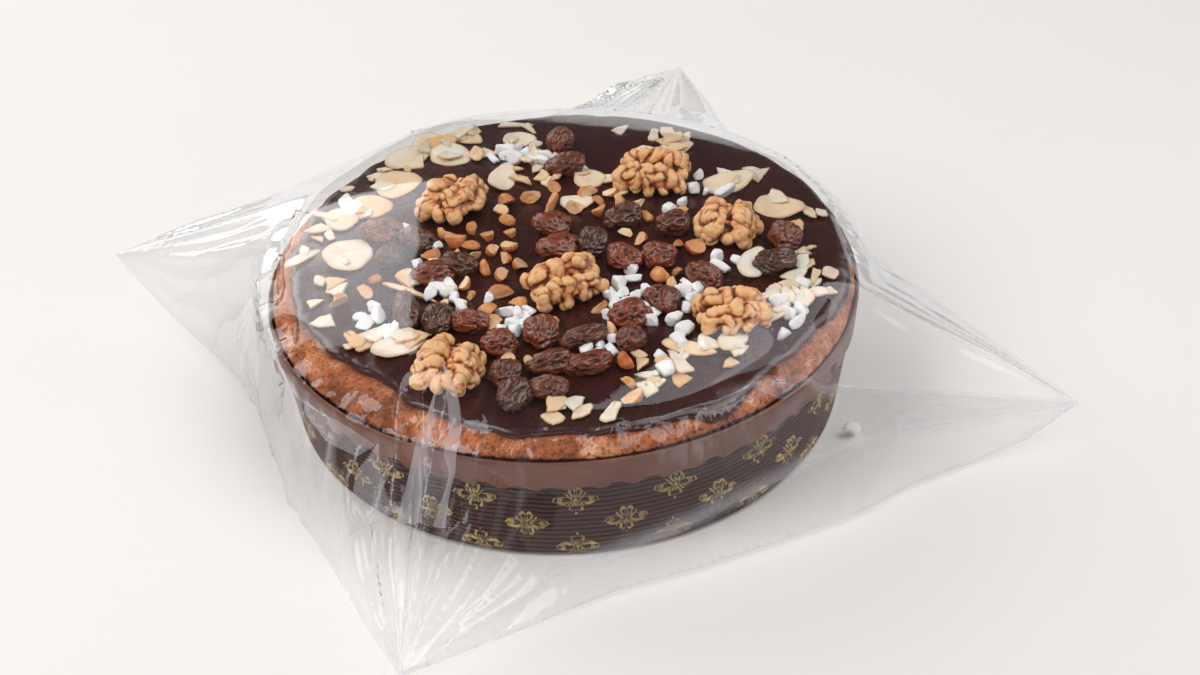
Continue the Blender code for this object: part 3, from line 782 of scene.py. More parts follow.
def darkGlaze():
    # dark chocolate couverture, poured and set: satin gloss, a bloom of tiny dimples
    # dimples 3 mm apart on swells 22 mm apart
    material, tree = startMaterial("dark chocolate glaze, poured")
    place = add(tree, "ShaderNodeTexCoord").outputs["Object"]
    patch = add(tree, "ShaderNodeTexNoise", {"Vector": place, "Scale": 45.0, "Detail": 3.0}).outputs[0]
    fine = add(tree, "ShaderNodeTexNoise", {"Vector": place, "Scale": 320.0, "Detail": 3.0}).outputs[0]
    colour = colourRamp(tree, patch, ((0.3, "#32120e"), (0.6, "#3d1712"), (0.8, "#4a1f18")))
    rough = add(tree, "ShaderNodeMapRange", {0: fine, 3: 0.2, 4: 0.38}).outputs[0]
    shader = add(tree, "ShaderNodeBsdfPrincipled", {"Base Color": colour, "Roughness": rough, "IOR": 1.45,
                                                    "Coat Weight": 0.25, "Coat Roughness": 0.12})
    small = add(tree, "ShaderNodeBump", {"Height": fine, "Strength": 0.18, "Distance": 0.35 * mm})
    broad = add(tree, "ShaderNodeBump", {"Height": patch, "Strength": 0.3, "Distance": 2 * mm,
                                         "Normal": small.outputs[0]}).outputs[0]
    finishMaterial(tree, shader, broad)
    return material


buildGlaze()
print("glaze poured")


# walnut halves

walnutLook = {
    "voxel": 0.42 * mm,
    "foldHeight": 2.1,       # mm, of the folds that cover the cheeks
    "foldScale": 0.145,      # folds per mm
}


def kernelBeads(length, width, height, draw, fingers):
    # the half kernel in mm: two cheeks, with knobs round them that end in short fingers
    beads = []
    a, b = length / 2, width / 2
    for side in (1, -1):
        lean = draw.uniform(-0.06, 0.06) * length
        for k in np.linspace(-0.62, 0.62, 5):
            size = b * (0.46 - 0.16 * abs(k))
            beads.append(((k * a + lean, side * b * 0.47, height * (0.62 - 0.12 * abs(k))), size))
        count = draw.choice((4, 5))
        for k in range(count):
            t = (k + 0.5) / count * 2 - 1
            reach = draw.uniform(0.88, 1.02)
            x = t * a * (0.95 + 0.1 * reach)
            y = side * b * reach * math.sqrt(max(0.12, 1 - 0.8 * t * t))
            size = draw.uniform(2.3, 3.1)
            root = (x * 0.66, y * 0.62, height * 0.6)
            tip = (x * 0.93, y * 0.9, height * draw.uniform(0.22, 0.34))
            steps = 5
            for i in range(steps + 1):
                share = i / steps
                at = tuple(p + (q - p) * share for p, q in zip(root, tip))
                beads.append((at, size * (1.15 - 0.3 * share * fingers)))
            if draw.random() < 0.6:
                beads.append(((x * 0.55, y * 0.5, height * 0.84), size * draw.uniform(0.9, 1.15)))
    for end in (1, -1):
        for k in range(4):
            beads.append(((end * a * (0.35 + 0.15 * k), draw.uniform(-1, 1), height * (0.48 - 0.05 * k)),
                          2.7 - 0.15 * k))
    return beads


def walnutMesh(index, node, draw):
    low, high = (Vector(c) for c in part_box(node))
    spot = walnutSpots[index]
    length, width, height = spot["length"], spot["width"], spot["height"]
    bm = bmesh.new()
    for (x, y, z), radius in kernelBeads(length * 0.87, width * 0.85, height * 0.78, draw, spot["fingers"]):
        place = Matrix.Translation((x * mm, y * mm, max(z, radius) * mm))
        bmesh.ops.create_icosphere(bm, subdivisions=2, radius=radius * mm, matrix=place)
    turn = Euler((math.radians(spot["tilt"]), 0, math.radians(spot["turn"])))
    bm.transform(turn.to_matrix().to_4x4())
    mesh = bpy.data.meshes.new(node)
    bm.to_mesh(mesh)
    bm.free()
    piece = bpy.data.objects.new(node + "_shape", mesh)
    bpy.context.scene.collection.objects.link(piece)
    join = piece.modifiers.new("join", "REMESH")
    join.mode = "VOXEL"
    join.voxel_size = walnutLook["voxel"]
    soften = piece.modifiers.new("soften", "SMOOTH")
    soften.factor = 0.5
    soften.iterations = 4
    bake(piece)
    co = np.empty(len(piece.data.vertices) * 3)
    piece.data.vertices.foreach_get("co", co)
    co = co.reshape(-1, 3)
    normals = np.empty_like(co).reshape(-1)
    piece.data.vertices.foreach_get("normal", normals)
    normals = normals.reshape(-1, 3)
    scale = walnutLook["foldScale"] / mm
    warped = co + np.stack([noiseAt(co, scale * 0.8, s) for s in (1, 4, 7)], 1) * 2.6 * mm
    folds = np.sqrt(np.abs(noiseAt(warped, scale, index * 5.0)) + 0.01)
    knobs = np.abs(noiseAt(warped, scale * 2.3, index * 3.0 + 9))
    wrinkle = walnutLook["foldHeight"] * (folds - 0.45) + 0.8 * knobs + noiseAt(co, 1.1 / mm, 2.0) * 0.08
    co += normals * wrinkle[:, None] * mm
    middle = (low + high) / 2
    co[:, 0] += middle.x - (co[:, 0].min() + co[:, 0].max()) / 2
    co[:, 1] += middle.y - (co[:, 1].min() + co[:, 1].max()) / 2
    co[:, 2] += low.z - 0.5 * mm - co[:, 2].min()
    piece.data.vertices.foreach_set("co", co.reshape(-1))
    piece.data.update()
    markHollows(piece)
    return piece


def markHollows(piece, rounds=16, reach=0.5 * mm):
    # how deep each point lies below the surface's own smoothed form, for painted shade in the folds and
    # painted light on the crests
    count = len(piece.data.vertices)
    co = np.empty(count * 3)
    piece.data.vertices.foreach_get("co", co)
    co = co.reshape(-1, 3)
    normals = np.empty(count * 3)
    piece.data.vertices.foreach_get("normal", normals)
    normals = normals.reshape(-1, 3)
    edges = np.empty(len(piece.data.edges) * 2, dtype=np.int64)
    piece.data.edges.foreach_get("vertices", edges)
    edges = edges.reshape(-1, 2)
    degree = np.bincount(edges.ravel(), minlength=count)[:, None]
    soft = co.copy()
    for _ in range(rounds):
        total = np.zeros_like(soft)
        for axis in range(3):
            total[:, axis] = (np.bincount(edges[:, 0], soft[edges[:, 1], axis], count)
                              + np.bincount(edges[:, 1], soft[edges[:, 0], axis], count))
        soft = total / np.maximum(degree, 1)
    depth = np.sum((soft - co) * normals, axis=1) / reach
    floatLayer(piece.data, "hollow", np.clip(0.5 + 0.5 * depth, 0, 1))


def joinMeshes(name, pieces):
    # several meshes as one, their layers kept
    target = pieces[0]
    with bpy.context.temp_override(active_object=target, selected_editable_objects=pieces, object=target,
                                   selected_objects=pieces):
        bpy.ops.object.join()
    target.name = name
    target.data.name = name
    return target


walnutSpots = (
    {"turn": 62, "tilt": -12, "length": 29, "width": 25, "height": 12.5, "fingers": 0.2},
    {"turn": -12, "tilt": 6, "length": 32, "width": 25, "height": 12.5, "fingers": 0.8},
    {"turn": 84, "tilt": 4, "length": 27, "width": 25, "height": 12.5, "fingers": 0.4},
    {"turn": 28, "tilt": 18, "length": 32, "width": 21, "height": 12, "fingers": 0.3},
    {"turn": 8, "tilt": -6, "length": 31, "width": 25, "height": 12.5, "fingers": 1.0},
    {"turn": 72, "tilt": 5, "length": 29, "width": 25, "height": 12.5, "fingers": 0.5},
)


def walnutSkin():
    # walnut kernel, shelled: thin skin with a dull shine, painted pale on the crests as light and brown in
    # the folds as shade
    # veins 1.1 mm apart; tone changes every 5 mm
    material, tree = startMaterial("walnut kernel, shelled")
    place = add(tree, "ShaderNodeTexCoord").outputs["Object"]
    hollow = add(tree, "ShaderNodeAttribute", attribute_name="hollow").outputs["Fac"]
    patch = add(tree, "ShaderNodeTexNoise",
                {"Vector": place, "Scale": 210.0, "Detail": 4.0, "Roughness": 0.6}).outputs[0]
    vein = add(tree, "ShaderNodeTexNoise", {"Vector": place, "Scale": 900.0, "Detail": 4.0}).outputs[0]
    # painted light and shade: lighter on the crests, darker down the folds, over random patches
    tone = add(tree, "ShaderNodeMath", {0: patch, 1: 0.42, 2: hollow}, operation="MULTIPLY_ADD").outputs[0]
    tone = add(tree, "ShaderNodeMath", {0: tone, 1: 0.21}, operation="SUBTRACT").outputs[0]
    colour = colourRamp(tree, tone,
                        ((0.26, "#f0bd85"), (0.44, "#d98f52"), (0.62, "#a35c2a"), (0.84, "#532610")))
    rough = add(tree, "ShaderNodeMapRange", {0: vein, 3: 0.36, 4: 0.6}).outputs[0]
    shader = add(tree, "ShaderNodeBsdfPrincipled", {"Base Color": colour, "Roughness": rough, "IOR": 1.47,
                                                    "Subsurface Weight": 0.12, "Subsurface Scale": 1.2 * mm})
    bump = add(tree, "ShaderNodeBump", {"Height": vein, "Strength": 0.6, "Distance": 0.4 * mm}).outputs[0]
    finishMaterial(tree, shader, bump)
    return material


def buildWalnuts():
    draw = random.Random(11)
    pieces = [walnutMesh(i, f"walnut_{i + 1}", draw) for i in range(6)]
    joined = joinMeshes("walnutHalves", pieces)
    joined.data.shade_smooth()
    putOn(joined, walnutSkin(), [f"walnut_{i + 1}" for i in range(6)])


buildWalnuts()
print("walnuts shelled")


# toppings that repeat: shapes placed on points by one node tree

def scatterTree():
    # picks a shape for every point, turns and sizes it, and makes one plain mesh of them all
    tree = bpy.data.node_groups.new("toppingScatter", "GeometryNodeTree")
    tree.interface.new_socket("Geometry", in_out="OUTPUT", socket_type="NodeSocketGeometry")
    tree.interface.new_socket("Geometry", in_out="INPUT", socket_type="NodeSocketGeometry")
    tree.interface.new_socket("Shapes", in_out="INPUT", socket_type="NodeSocketCollection")
    tree.interface.new_socket("Finish", in_out="INPUT", socket_type="NodeSocketMaterial")
    given = add(tree, "NodeGroupInput")
    shapes = add(tree, "GeometryNodeCollectionInfo", {
        "Collection": given.outputs["Shapes"], "Separate Children": True, "Reset Children": True}).outputs[0]
    kind = add(tree, "GeometryNodeInputNamedAttribute", {"Name": "kind"},
               data_type="INT").outputs["Attribute"]
    turn = add(tree, "GeometryNodeInputNamedAttribute", {"Name": "turn"},
               data_type="FLOAT_VECTOR").outputs["Attribute"]
    size = add(tree, "GeometryNodeInputNamedAttribute", {"Name": "size"},
               data_type="FLOAT_VECTOR").outputs["Attribute"]
    rotation = add(tree, "FunctionNodeEulerToRotation", {0: turn}).outputs[0]
    placed = add(tree, "GeometryNodeInstanceOnPoints", {
        "Points": given.outputs["Geometry"], "Instance": shapes, "Pick Instance": True,
        "Instance Index": kind, "Rotation": rotation, "Scale": size}).outputs[0]
    real = add(tree, "GeometryNodeRealizeInstances", {"Geometry": placed}).outputs[0]
    covered = add(tree, "GeometryNodeSetMaterial",
                  {"Geometry": real, "Material": given.outputs["Finish"]}).outputs[0]
    add(tree, "NodeGroupOutput", {"Geometry": covered})
    return tree


def scatterPiece(name, shapes, spots, material, tree):
    # spots: dictionaries with place, turn (degrees), size, kind and tone
    box = bpy.data.collections.new(name + "Shapes")
    for i, shape in enumerate(shapes):
        shape.name = f"{name}_shape_{i:02d}"
        bpy.context.scene.collection.objects.unlink(shape)
        box.objects.link(shape)
    piece = meshObject(name, [s["place"] for s in spots], [])
    mesh = piece.data
    for label in ("turn", "size"):
        layer = mesh.attributes.new(label, "FLOAT_VECTOR", "POINT")
        values = [np.radians(s[label]) if label == "turn" else s[label] for s in spots]
        layer.data.foreach_set("vector", np.array(values, dtype=np.float32).reshape(-1))
    mesh.attributes.new("kind", "INT", "POINT").data.foreach_set("value", [s["kind"] for s in spots])
    floatLayer(mesh, "tone", [s["tone"] for s in spots])
    nodesModifier(piece, tree, Shapes=box, Finish=material)
    bake(piece)
    for shape in shapes:
        bpy.data.objects.remove(shape)
    bpy.data.collections.remove(box)
    piece.data.materials.clear()
    piece.data.shade_smooth()
    return piece


def roundBall(name, level):
    bm = bmesh.new()
    bmesh.ops.create_icosphere(bm, subdivisions=level, radius=0.5)
    mesh = bpy.data.meshes.new(name)
    bm.to_mesh(mesh)
    bm.free()
    piece = bpy.data.objects.new(name, mesh)
    bpy.context.scene.collection.objects.link(piece)
    co = np.empty(len(mesh.vertices) * 3)
    mesh.vertices.foreach_get("co", co)
    return piece, co.reshape(-1, 3)


def setPoints(piece, co):
    piece.data.vertices.foreach_set("co", np.asarray(co).reshape(-1))
    piece.data.update()


scatter = scatterTree()


# raisins, one for each node, wrinkled
raisinNames = sorted(n for n in frame["nodes"] if n.startswith("raisin_"))
raisinLook = {
    "kinds": 6,
}


def raisinShape(index):
    piece, co = roundBall("raisin", 5)
    way = co / np.linalg.norm(co, axis=1)[:, None]
    bent = way + 0.25 * np.stack([noiseAt(way, 2.0, 10.0 * index + s) for s in (1, 3, 5)], 1)
    folds = 1 - np.abs(noiseAt(bent * (1.0, 1.7, 1.7), 1.9, index * 7.0)) * 2.2
    fine = 1 - np.abs(noiseAt(bent * (1.0, 1.6, 1.6), 4.6, index * 3.0)) * 2.0
    radius = 1 + 0.17 * folds + 0.035 * fine + 0.34 * noiseAt(way, 1.1, index * 2.0)
    setPoints(piece, co * radius[:, None])
    # how deep each point lies in the wrinkles, for the painted shade in the finish
    markHollows(piece, 8, 0.03)
    return piece


def raisinSkin():
    # sun-dried raisin: wrinkled skin, waxy on the folds, red-brown where light comes through, with painted
    # light on the wrinkles' crests and painted shade in their hollows
    # skin grain 1.4 mm, coarser than real so that it shows
    material, tree = startMaterial("raisin, sun-dried")
    place = add(tree, "ShaderNodeTexCoord").outputs["Object"]
    hollow = add(tree, "ShaderNodeAttribute", attribute_name="hollow").outputs["Fac"]
    tone = add(tree, "ShaderNodeAttribute", attribute_name="tone").outputs["Fac"]
    fine = add(tree, "ShaderNodeTexNoise", {"Vector": place, "Scale": 700.0, "Detail": 3.0}).outputs[0]
    # both ramps go from lighter on the crests to darker in the hollows: painted light and painted shade
    dark = colourRamp(tree, hollow, ((0.3, "#4a2818"), (0.55, "#321a0f"), (0.85, "#1d0d06")))
    red = colourRamp(tree, hollow, ((0.3, "#8a3e1a"), (0.55, "#5e2910"), (0.85, "#2b1207")))
    colour = blendColours(tree, tone, dark, red)
    rough = add(tree, "ShaderNodeMapRange", {0: fine, 3: 0.28, 4: 0.5}).outputs[0]
    shader = add(tree, "ShaderNodeBsdfPrincipled", {
        "Base Color": colour, "Roughness": rough, "IOR": 1.45, "Subsurface Weight": 0.25,
        "Subsurface Scale": 1.5 * mm, "Coat Weight": 0.35, "Coat Roughness": 0.2})
    shader.inputs["Subsurface Radius"].default_value = (1.0, 0.35, 0.2)
    bump = add(tree, "ShaderNodeBump", {"Height": fine, "Strength": 0.4, "Distance": 0.2 * mm}).outputs[0]
    finishMaterial(tree, shader, bump)
    return material


def buildRaisins():
    draw = random.Random(21)
    spots = []
    for name in raisinNames:
        low, high = np.array(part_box(name)[0]), np.array(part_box(name)[1])
        middle, extent = (low + high) / 2, high - low
        long = max(extent[0], extent[1]) * draw.uniform(1.04, 1.24)
        short = min(extent[0], extent[1]) * draw.uniform(0.95, 1.15)
        turn = 0 if extent[0] > extent[1] else 90
        leant = (draw.uniform(-15, 15), draw.uniform(-12, 12), turn + draw.uniform(-30, 30))
        spots.append({"place": middle + (0, 0, -0.6 * mm), "turn": leant,
                      "size": (long, short, extent[2] * 1.1), "kind": draw.randrange(raisinLook["kinds"]),
                      "tone": draw.random() ** 0.8})
    shapes = [raisinShape(i) for i in range(raisinLook["kinds"])]
    skin = raisinSkin()
    putOn(scatterPiece("raisins", shapes, spots, skin, scatter), skin, raisinNames)


buildRaisins()
print("raisins laid")


# what is on the glaze already, so that small toppings keep off it or lie on top
occupied = []
for nodeName in frame["nodes"]:
    if nodeName.startswith(("walnut_", "raisin_")):
        low, high = np.array(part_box(nodeName)[0]), np.array(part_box(nodeName)[1])
        occupied.append(((low + high)[:2] / 2, min((high - low)[:2]) / 2, high[2]))


def restHeight(x, y, reach, share=0.5):
    # height that something lies at: on the glaze, or partly up on what it leans on
    height = float(glazeTop(x, y))
    for middle, radius, top in occupied:
        gap = math.hypot(x - middle[0], y - middle[1]) - radius - reach * 0.6
        if gap < 0:
            height = max(height, height + (top - height) * share * min(1, -gap / (reach + radius)))
    return height


# hazelnuts: chopped, with toasted outsides and pale broken faces
# angle round the torte, distance out, spread round and in, and how many
hazelnutLook = {
    "kinds": 9,
    "drifts": ((146, 31, 10, 6, 8), (168, 34, 10, 7, 8), (186, 26, 9, 5, 4), (60, 32, 8, 5, 5),
               (75, 28, 7, 4, 3), (18, 37, 8, 6, 5), (2, 45, 6, 5, 3), (-25, 44, 6, 6, 2),
               (-100, 38, 8, 6, 4), (-140, 52, 8, 5, 4), (-79, 80, 6, 6, 3), (-104, 60, 8, 8, 3),
               (-33, 42, 5, 5, 2), (-73, 54, 5, 4, 1), (200, 70, 8, 6, 3)),
    "size": (5.5, 9.5),
}


def hazelnutShape(draw):
    piece, co = roundBall("hazelnut", 4)
    whole = co.copy()
    for _ in range(draw.choice((2, 3, 3, 4))):
        way = np.array([draw.gauss(0, 1) for _ in range(3)])
        way /= np.linalg.norm(way)
        past = np.clip(co @ way - draw.uniform(0.02, 0.26), 0, None)
        co = co - past[:, None] * way
    cut = np.linalg.norm(co - whole, axis=1) > 1e-4
    co += 0.035 * np.stack([noiseAt(co, 5, s) for s in (1, 4, 8)], 1)
    co += 0.012 * np.stack([noiseAt(co, 16, s) for s in (2, 5, 9)], 1)
    co -= (co.min(0) + co.max(0)) / 2
    setPoints(piece, co)
    floatLayer(piece.data, "cut", cut.astype(float))
    return piece


def toastedHazelnut():
    # roasted hazelnut, chopped: orange-brown toasted skin side, cream where it broke
    # grain 0.8 mm; toasted and pale patches 4 mm apart
    material, tree = startMaterial("hazelnut, roasted and chopped")
    place = add(tree, "ShaderNodeTexCoord").outputs["Object"]
    cut = add(tree, "ShaderNodeAttribute", attribute_name="cut").outputs["Fac"]
    tone = add(tree, "ShaderNodeAttribute", attribute_name="tone").outputs["Fac"]
    patch = add(tree, "ShaderNodeTexNoise", {"Vector": place, "Scale": 260.0, "Detail": 4.0}).outputs[0]
    fine = add(tree, "ShaderNodeTexNoise", {"Vector": place, "Scale": 1200.0, "Detail": 2.0}).outputs[0]
    skin = colourRamp(tree, patch, ((0.3, "#c07434"), (0.5, "#dc9650"), (0.7, "#eeb87c")))
    pale = colourRamp(tree, patch, ((0.3, "#efbe84"), (0.55, "#f7d8ab"), (0.75, "#fcebcf")))
    mixed = blendColours(tree, cut, skin, pale)
    burnt = blendColours(tree, 1.0, mixed, linear("#d9a070"), "MULTIPLY")
    colour = blendColours(tree, tone, mixed, burnt)
    shader = add(tree, "ShaderNodeBsdfPrincipled", {"Base Color": colour, "Roughness": 0.5, "IOR": 1.47,
                                                    "Subsurface Weight": 0.2, "Subsurface Scale": 1.2 * mm})
    bump = add(tree, "ShaderNodeBump", {"Height": fine, "Strength": 0.3, "Distance": 0.2 * mm}).outputs[0]
    finishMaterial(tree, shader, bump)
    return material


def driftSpots(look, draw, reachShare=0.45):
    # draws each drift's places at random, away from what is there, inside the glaze's lip
    spots = []
    for angle, distance, along, across, count in look["drifts"]:
        for _ in range(count):
            for _ in range(80):
                a = math.radians(angle)
                out = distance * mm + draw.gauss(0, across * mm)
                aside = draw.gauss(0, along * mm)
                x, y = math.cos(a) * out - math.sin(a) * aside, math.sin(a) * out + math.cos(a) * aside
                size = draw.uniform(*look["size"]) * mm
                radius = math.hypot(x, y)
                inside = radius + size * 0.4 < float(glazeReach(math.degrees(math.atan2(y, x))))
                free = all(math.hypot(x - m[0], y - m[1]) > r + size * reachShare for m, r, _ in occupied)
                if inside and free:
                    spots.append((x, y, size))
                    occupied.append((np.array((x, y)), size * 0.42, float(glazeTop(x, y)) + size * 0.7))
                    break
    return spots


def buildHazelnuts():
    draw = random.Random(31)
    shapes = [hazelnutShape(draw) for _ in range(hazelnutLook["kinds"])]
    spots = []
    for x, y, size in driftSpots(hazelnutLook, draw):
        stretch = (draw.uniform(0.85, 1.25), draw.uniform(0.75, 1.0), draw.uniform(0.65, 0.85))
        spots.append({"place": (x, y, float(glazeTop(x, y)) + size * 0.24),
                      "turn": (draw.uniform(-35, 35), draw.uniform(-35, 35), draw.uniform(0, 360)),
                      "size": tuple(size * s for s in stretch), "kind": draw.randrange(hazelnutLook["kinds"]),
                      "tone": draw.random() * 0.9})
    nut = toastedHazelnut()
    putOn(scatterPiece("choppedHazelnuts", shapes, spots, nut, scatter), nut, ["glaze"])


buildHazelnuts()
print("hazelnuts chopped")


# pearl sugar: pressed grains, in small heaps
sugarLook = {
    "kinds": 5,
    "drifts": ((107, 66, 4, 3, 6), (100, 63, 3, 3, 3), (-178, 46, 6, 5, 4), (-142, 46, 5, 4, 9),
               (-112, 46, 7, 4, 9), (-60, 40, 8, 5, 11), (-50, 55, 8, 6, 7), (-76, 66, 6, 4, 6),
               (-152, 76, 8, 4, 6), (36, 62, 8, 6, 4), (24, 46, 4, 4, 2), (156, 84, 3, 3, 3),
               (-12, 55, 4, 4, 3), (-30, 52, 3, 3, 3), (-54, 72, 6, 4, 4), (-28, 85, 10, 6, 6)),
    "size": (3.9, 6.0),
    "loose": (100, -40, 3.6),     # one grain that lies beside the case on the bag's floor
}


def sugarShape(draw):
    piece, co = roundBall("sugar", 3)
    way = co * 2
    grain = 1 + 0.22 * noiseAt(way, 1.8, draw.uniform(0, 50)) + 0.08 * noiseAt(way, 4.5, draw.uniform(0, 50))
    blocky = np.sign(co) * np.abs(co * 2) ** 0.7 / 2 * grain[:, None]
    for _ in range(4):
        face = np.array([draw.gauss(0, 1) for _ in range(3)])
        face /= np.linalg.norm(face)
        past = np.clip(blocky @ face - draw.uniform(0.22, 0.4), 0, None)
        blocky = blocky - 0.9 * past[:, None] * face
    setPoints(piece, blocky)
    return piece


def pearlSugar():
    # pearl sugar, pressed: opaque white, matt, with a soft grain
    # crystals 0.6 mm apart
    material, tree = startMaterial("pearl sugar, pressed")
    place = add(tree, "ShaderNodeTexCoord").outputs["Object"]
    grain = add(tree, "ShaderNodeTexNoise", {"Vector": place, "Scale": 1600.0, "Detail": 3.0}).outputs[0]
    colour = colourRamp(tree, grain, ((0.3, "#f0efef"), (0.7, "#fbfbfb")))
    shader = add(tree, "ShaderNodeBsdfPrincipled", {"Base Color": colour, "Roughness": 0.7, "IOR": 1.5,
                                                    "Subsurface Weight": 0.3, "Subsurface Scale": 0.8 * mm})
    bump = add(tree, "ShaderNodeBump", {"Height": grain, "Strength": 0.4, "Distance": 0.15 * mm}).outputs[0]
    finishMaterial(tree, shader, bump)
    return material


def buildSugar():
    draw = random.Random(41)
    shapes = [sugarShape(draw) for _ in range(sugarLook["kinds"])]
    spots = []
    for x, y, size in driftSpots(sugarLook, draw, 0.36):
        rod = draw.random() < 0.3
        stretch = (draw.uniform(1.5, 2.0), 0.85, 0.8) if rod else (draw.uniform(0.95, 1.2), 0.95, 0.85)
        spots.append({"place": (x, y, float(glazeTop(x, y)) + size * 0.36),
                      "turn": (draw.uniform(-15, 15), draw.uniform(-15, 15), draw.uniform(0, 360)),
                      "size": tuple(size * s for s in stretch), "kind": draw.randrange(sugarLook["kinds"]),
                      "tone": 0.5})
    loose = [part * mm for part in sugarLook["loose"]]
    spots.append({"place": tuple(loose), "turn": (20, 35, 60), "size": (7 * mm, 5.2 * mm, 4.8 * mm),
                  "kind": 2, "tone": 0.5})
    grain = pearlSugar()
    putOn(scatterPiece("pearlSugar", shapes, spots, grain, scatter), grain, ["glaze"])


buildSugar()
print("sugar strewn")


# almonds: thin slices, whole ovals and broken pieces, lying over each other
almondLook = {
    "wholeKinds": 6,
    "brokenKinds": 8,
    # x, y, length, width, turn and lean of the slices that stand out, in mm and degrees
    "wholes": ((-75, 3, 22, 17, 60, 6), (-60, 48, 18, 14, 20, 10), (-57, 68, 19, 11, 25, 14),
               (-69, 33, 16, 13, 10, 8), (-79, 27, 15, 12, 50, 6), (-41, 67, 17, 13, -20, 10),
               (-50, 80, 14, 10, 15, 8), (-21, 47, 17, 10, 75, 16), (11, 44, 12, 11, 0, 8),
               (62, 40, 21, 12, 25, 8), (79, 23, 19, 13, -15, 8), (67, -15, 18, 10, 62, 24),
               (-52, -15, 12, 10, 95, 10), (-55, -53, 20, 10, 25, 6), (-36, 82, 15, 9, -35, 8),
               (-46, 76, 15, 9, 20, 10), (57, -58, 15, 9, 60, 8), (6, 27, 13, 8, 10, 8),
               (-15, 77, 13, 9, -10, 8), (44, 66, 14, 7, 25, 12), (-53, -24, 24, 2.2, -34, 4),
               (-92, 4, 17, 4, 42, 6), (42, -62, 20, 6, -28, 10)),
    "drifts": ((176, 80, 9, 6, 3), (160, 82, 10, 7, 6), (141, 84, 9, 9, 7), (118, 88, 9, 6, 5),
               (104, 80, 12, 9, 10), (100, 55, 10, 6, 9), (84, 44, 10, 6, 6), (67, 80, 12, 8, 6),
               (56, 74, 8, 6, 4), (32, 84, 8, 6, 4), (12, 84, 8, 6, 4), (-8, 82, 7, 6, 7),
               (-16, 86, 8, 6, 11), (-26, 88, 8, 6, 11), (-46, 82, 12, 6, 6), (-66, 76, 9, 5, 8),
               (-88, 90, 10, 4, 6), (-140, 82, 11, 7, 7), (-150, 90, 6, 3, 2), (-168, 86, 8, 5, 4),
               (172, 90, 8, 4, 4)),
    "size": (8, 15),
    "thickness": 1.0 * mm,
}


def almondShape(name, draw, broken):
    # a slice in a unit square: an egg outline, or an egg with straight broken sides
    around, rings = 30, (0.0, 0.35, 0.65, 0.86, 0.96)
    angle = np.arange(around) * 2 * math.pi / around
    outline = np.stack([np.cos(angle) * 0.5, np.sin(angle) * 0.5 * (1 - 0.22 * np.cos(angle))], 1)
    uneven = 0.03 * np.sin(3 * angle + draw.uniform(0, 6)) + 0.02 * np.sin(7 * angle + draw.uniform(0, 6))
    outline *= (1 + uneven)[:, None]
    if broken:
        for _ in range(draw.choice((2, 3, 3, 4))):
            a = draw.uniform(0, 2 * math.pi)
            way = np.array((math.cos(a), math.sin(a)))
            past = np.clip(outline @ way - draw.uniform(0.1, 0.3), 0, None)
            outline = outline - past[:, None] * way
        outline += np.array([[draw.gauss(0, 0.012), draw.gauss(0, 0.012)] for _ in range(around)])
    middle = outline.mean(0)
    rows, rim = [], []
    thick = 0.5
    bend = draw.uniform(-0.5, 0.5)
    for sign in (-1, 1):
        shares = rings if sign < 0 else rings[::-1]
        for share in shares[1:] if sign < 0 else shares[:-1]:
            flat = middle + (outline - middle) * share
            edge = 1 - 0.55 * max(0, (share - 0.8) / 0.16) ** 2 * 0.6
            z = sign * thick * edge
            rows.append(np.column_stack([flat, np.full(around, z)]))
            rim.append(np.full(around, share))
        if sign < 0:
            rows.append(np.column_stack([outline, np.zeros(around)]))
            rim.append(np.ones(around))
    verts = np.concatenate(rows)
    rimLayer = np.concatenate(rim)
    faces = list(gridFaces(len(rows), around))
    verts = np.concatenate([verts, [[*middle, -thick], [*middle, thick]]])
    last = (len(rows) - 1) * around
    faces += [((i + 1) % around, i, len(verts) - 2) for i in range(around)]
    faces += [(last + i, last + (i + 1) % around, len(verts) - 1) for i in range(around)]
    verts[:, 2] += bend * 2.2 * (verts[:, 0] ** 2 * 4 - 0.4)
    verts[:, 2] += 0.2 * noiseAt(verts * (1, 1, 0), 3.5, draw.uniform(0, 40))
    piece = meshObject(name, verts, faces)
    faceOutwards(piece)
    floatLayer(piece.data, "rim", np.append(rimLayer, [0, 0]))
    return piece


def slicedAlmond():
    # blanched almond, sliced: ivory and slightly see-through, toasted along the rim
    # grain 1.1 mm; tone changes every 7 mm
    material, tree = startMaterial("almond, blanched and sliced")
    place = add(tree, "ShaderNodeTexCoord").outputs["Object"]
    rim = add(tree, "ShaderNodeAttribute", attribute_name="rim").outputs["Fac"]
    tone = add(tree, "ShaderNodeAttribute", attribute_name="tone").outputs["Fac"]
    patch = add(tree, "ShaderNodeTexNoise", {"Vector": place, "Scale": 140.0, "Detail": 3.0}).outputs[0]
    fine = add(tree, "ShaderNodeTexNoise", {"Vector": place, "Scale": 900.0, "Detail": 2.0}).outputs[0]
    pale = colourRamp(tree, patch, ((0.3, "#eedbc2"), (0.5, "#f5e8d6"), (0.75, "#fbf4ea")))
    toasted = blendColours(tree, 1.0, pale, linear("#f6cf9c"), "MULTIPLY")
    body = blendColours(tree, tone, pale, toasted)
    edge = add(tree, "ShaderNodeMapRange", {0: rim, 1: 0.8, 2: 1.0, 3: 0.0, 4: 0.55}).outputs[0]
    colour = blendColours(tree, edge, body, linear("#c79a62"))
    shader = add(tree, "ShaderNodeBsdfPrincipled", {"Base Color": colour, "Roughness": 0.45, "IOR": 1.46,
                                                    "Subsurface Weight": 0.35, "Subsurface Scale": 1.5 * mm})
    bump = add(tree, "ShaderNodeBump", {"Height": fine, "Strength": 0.2, "Distance": 0.15 * mm}).outputs[0]
    finishMaterial(tree, shader, bump)
    return material


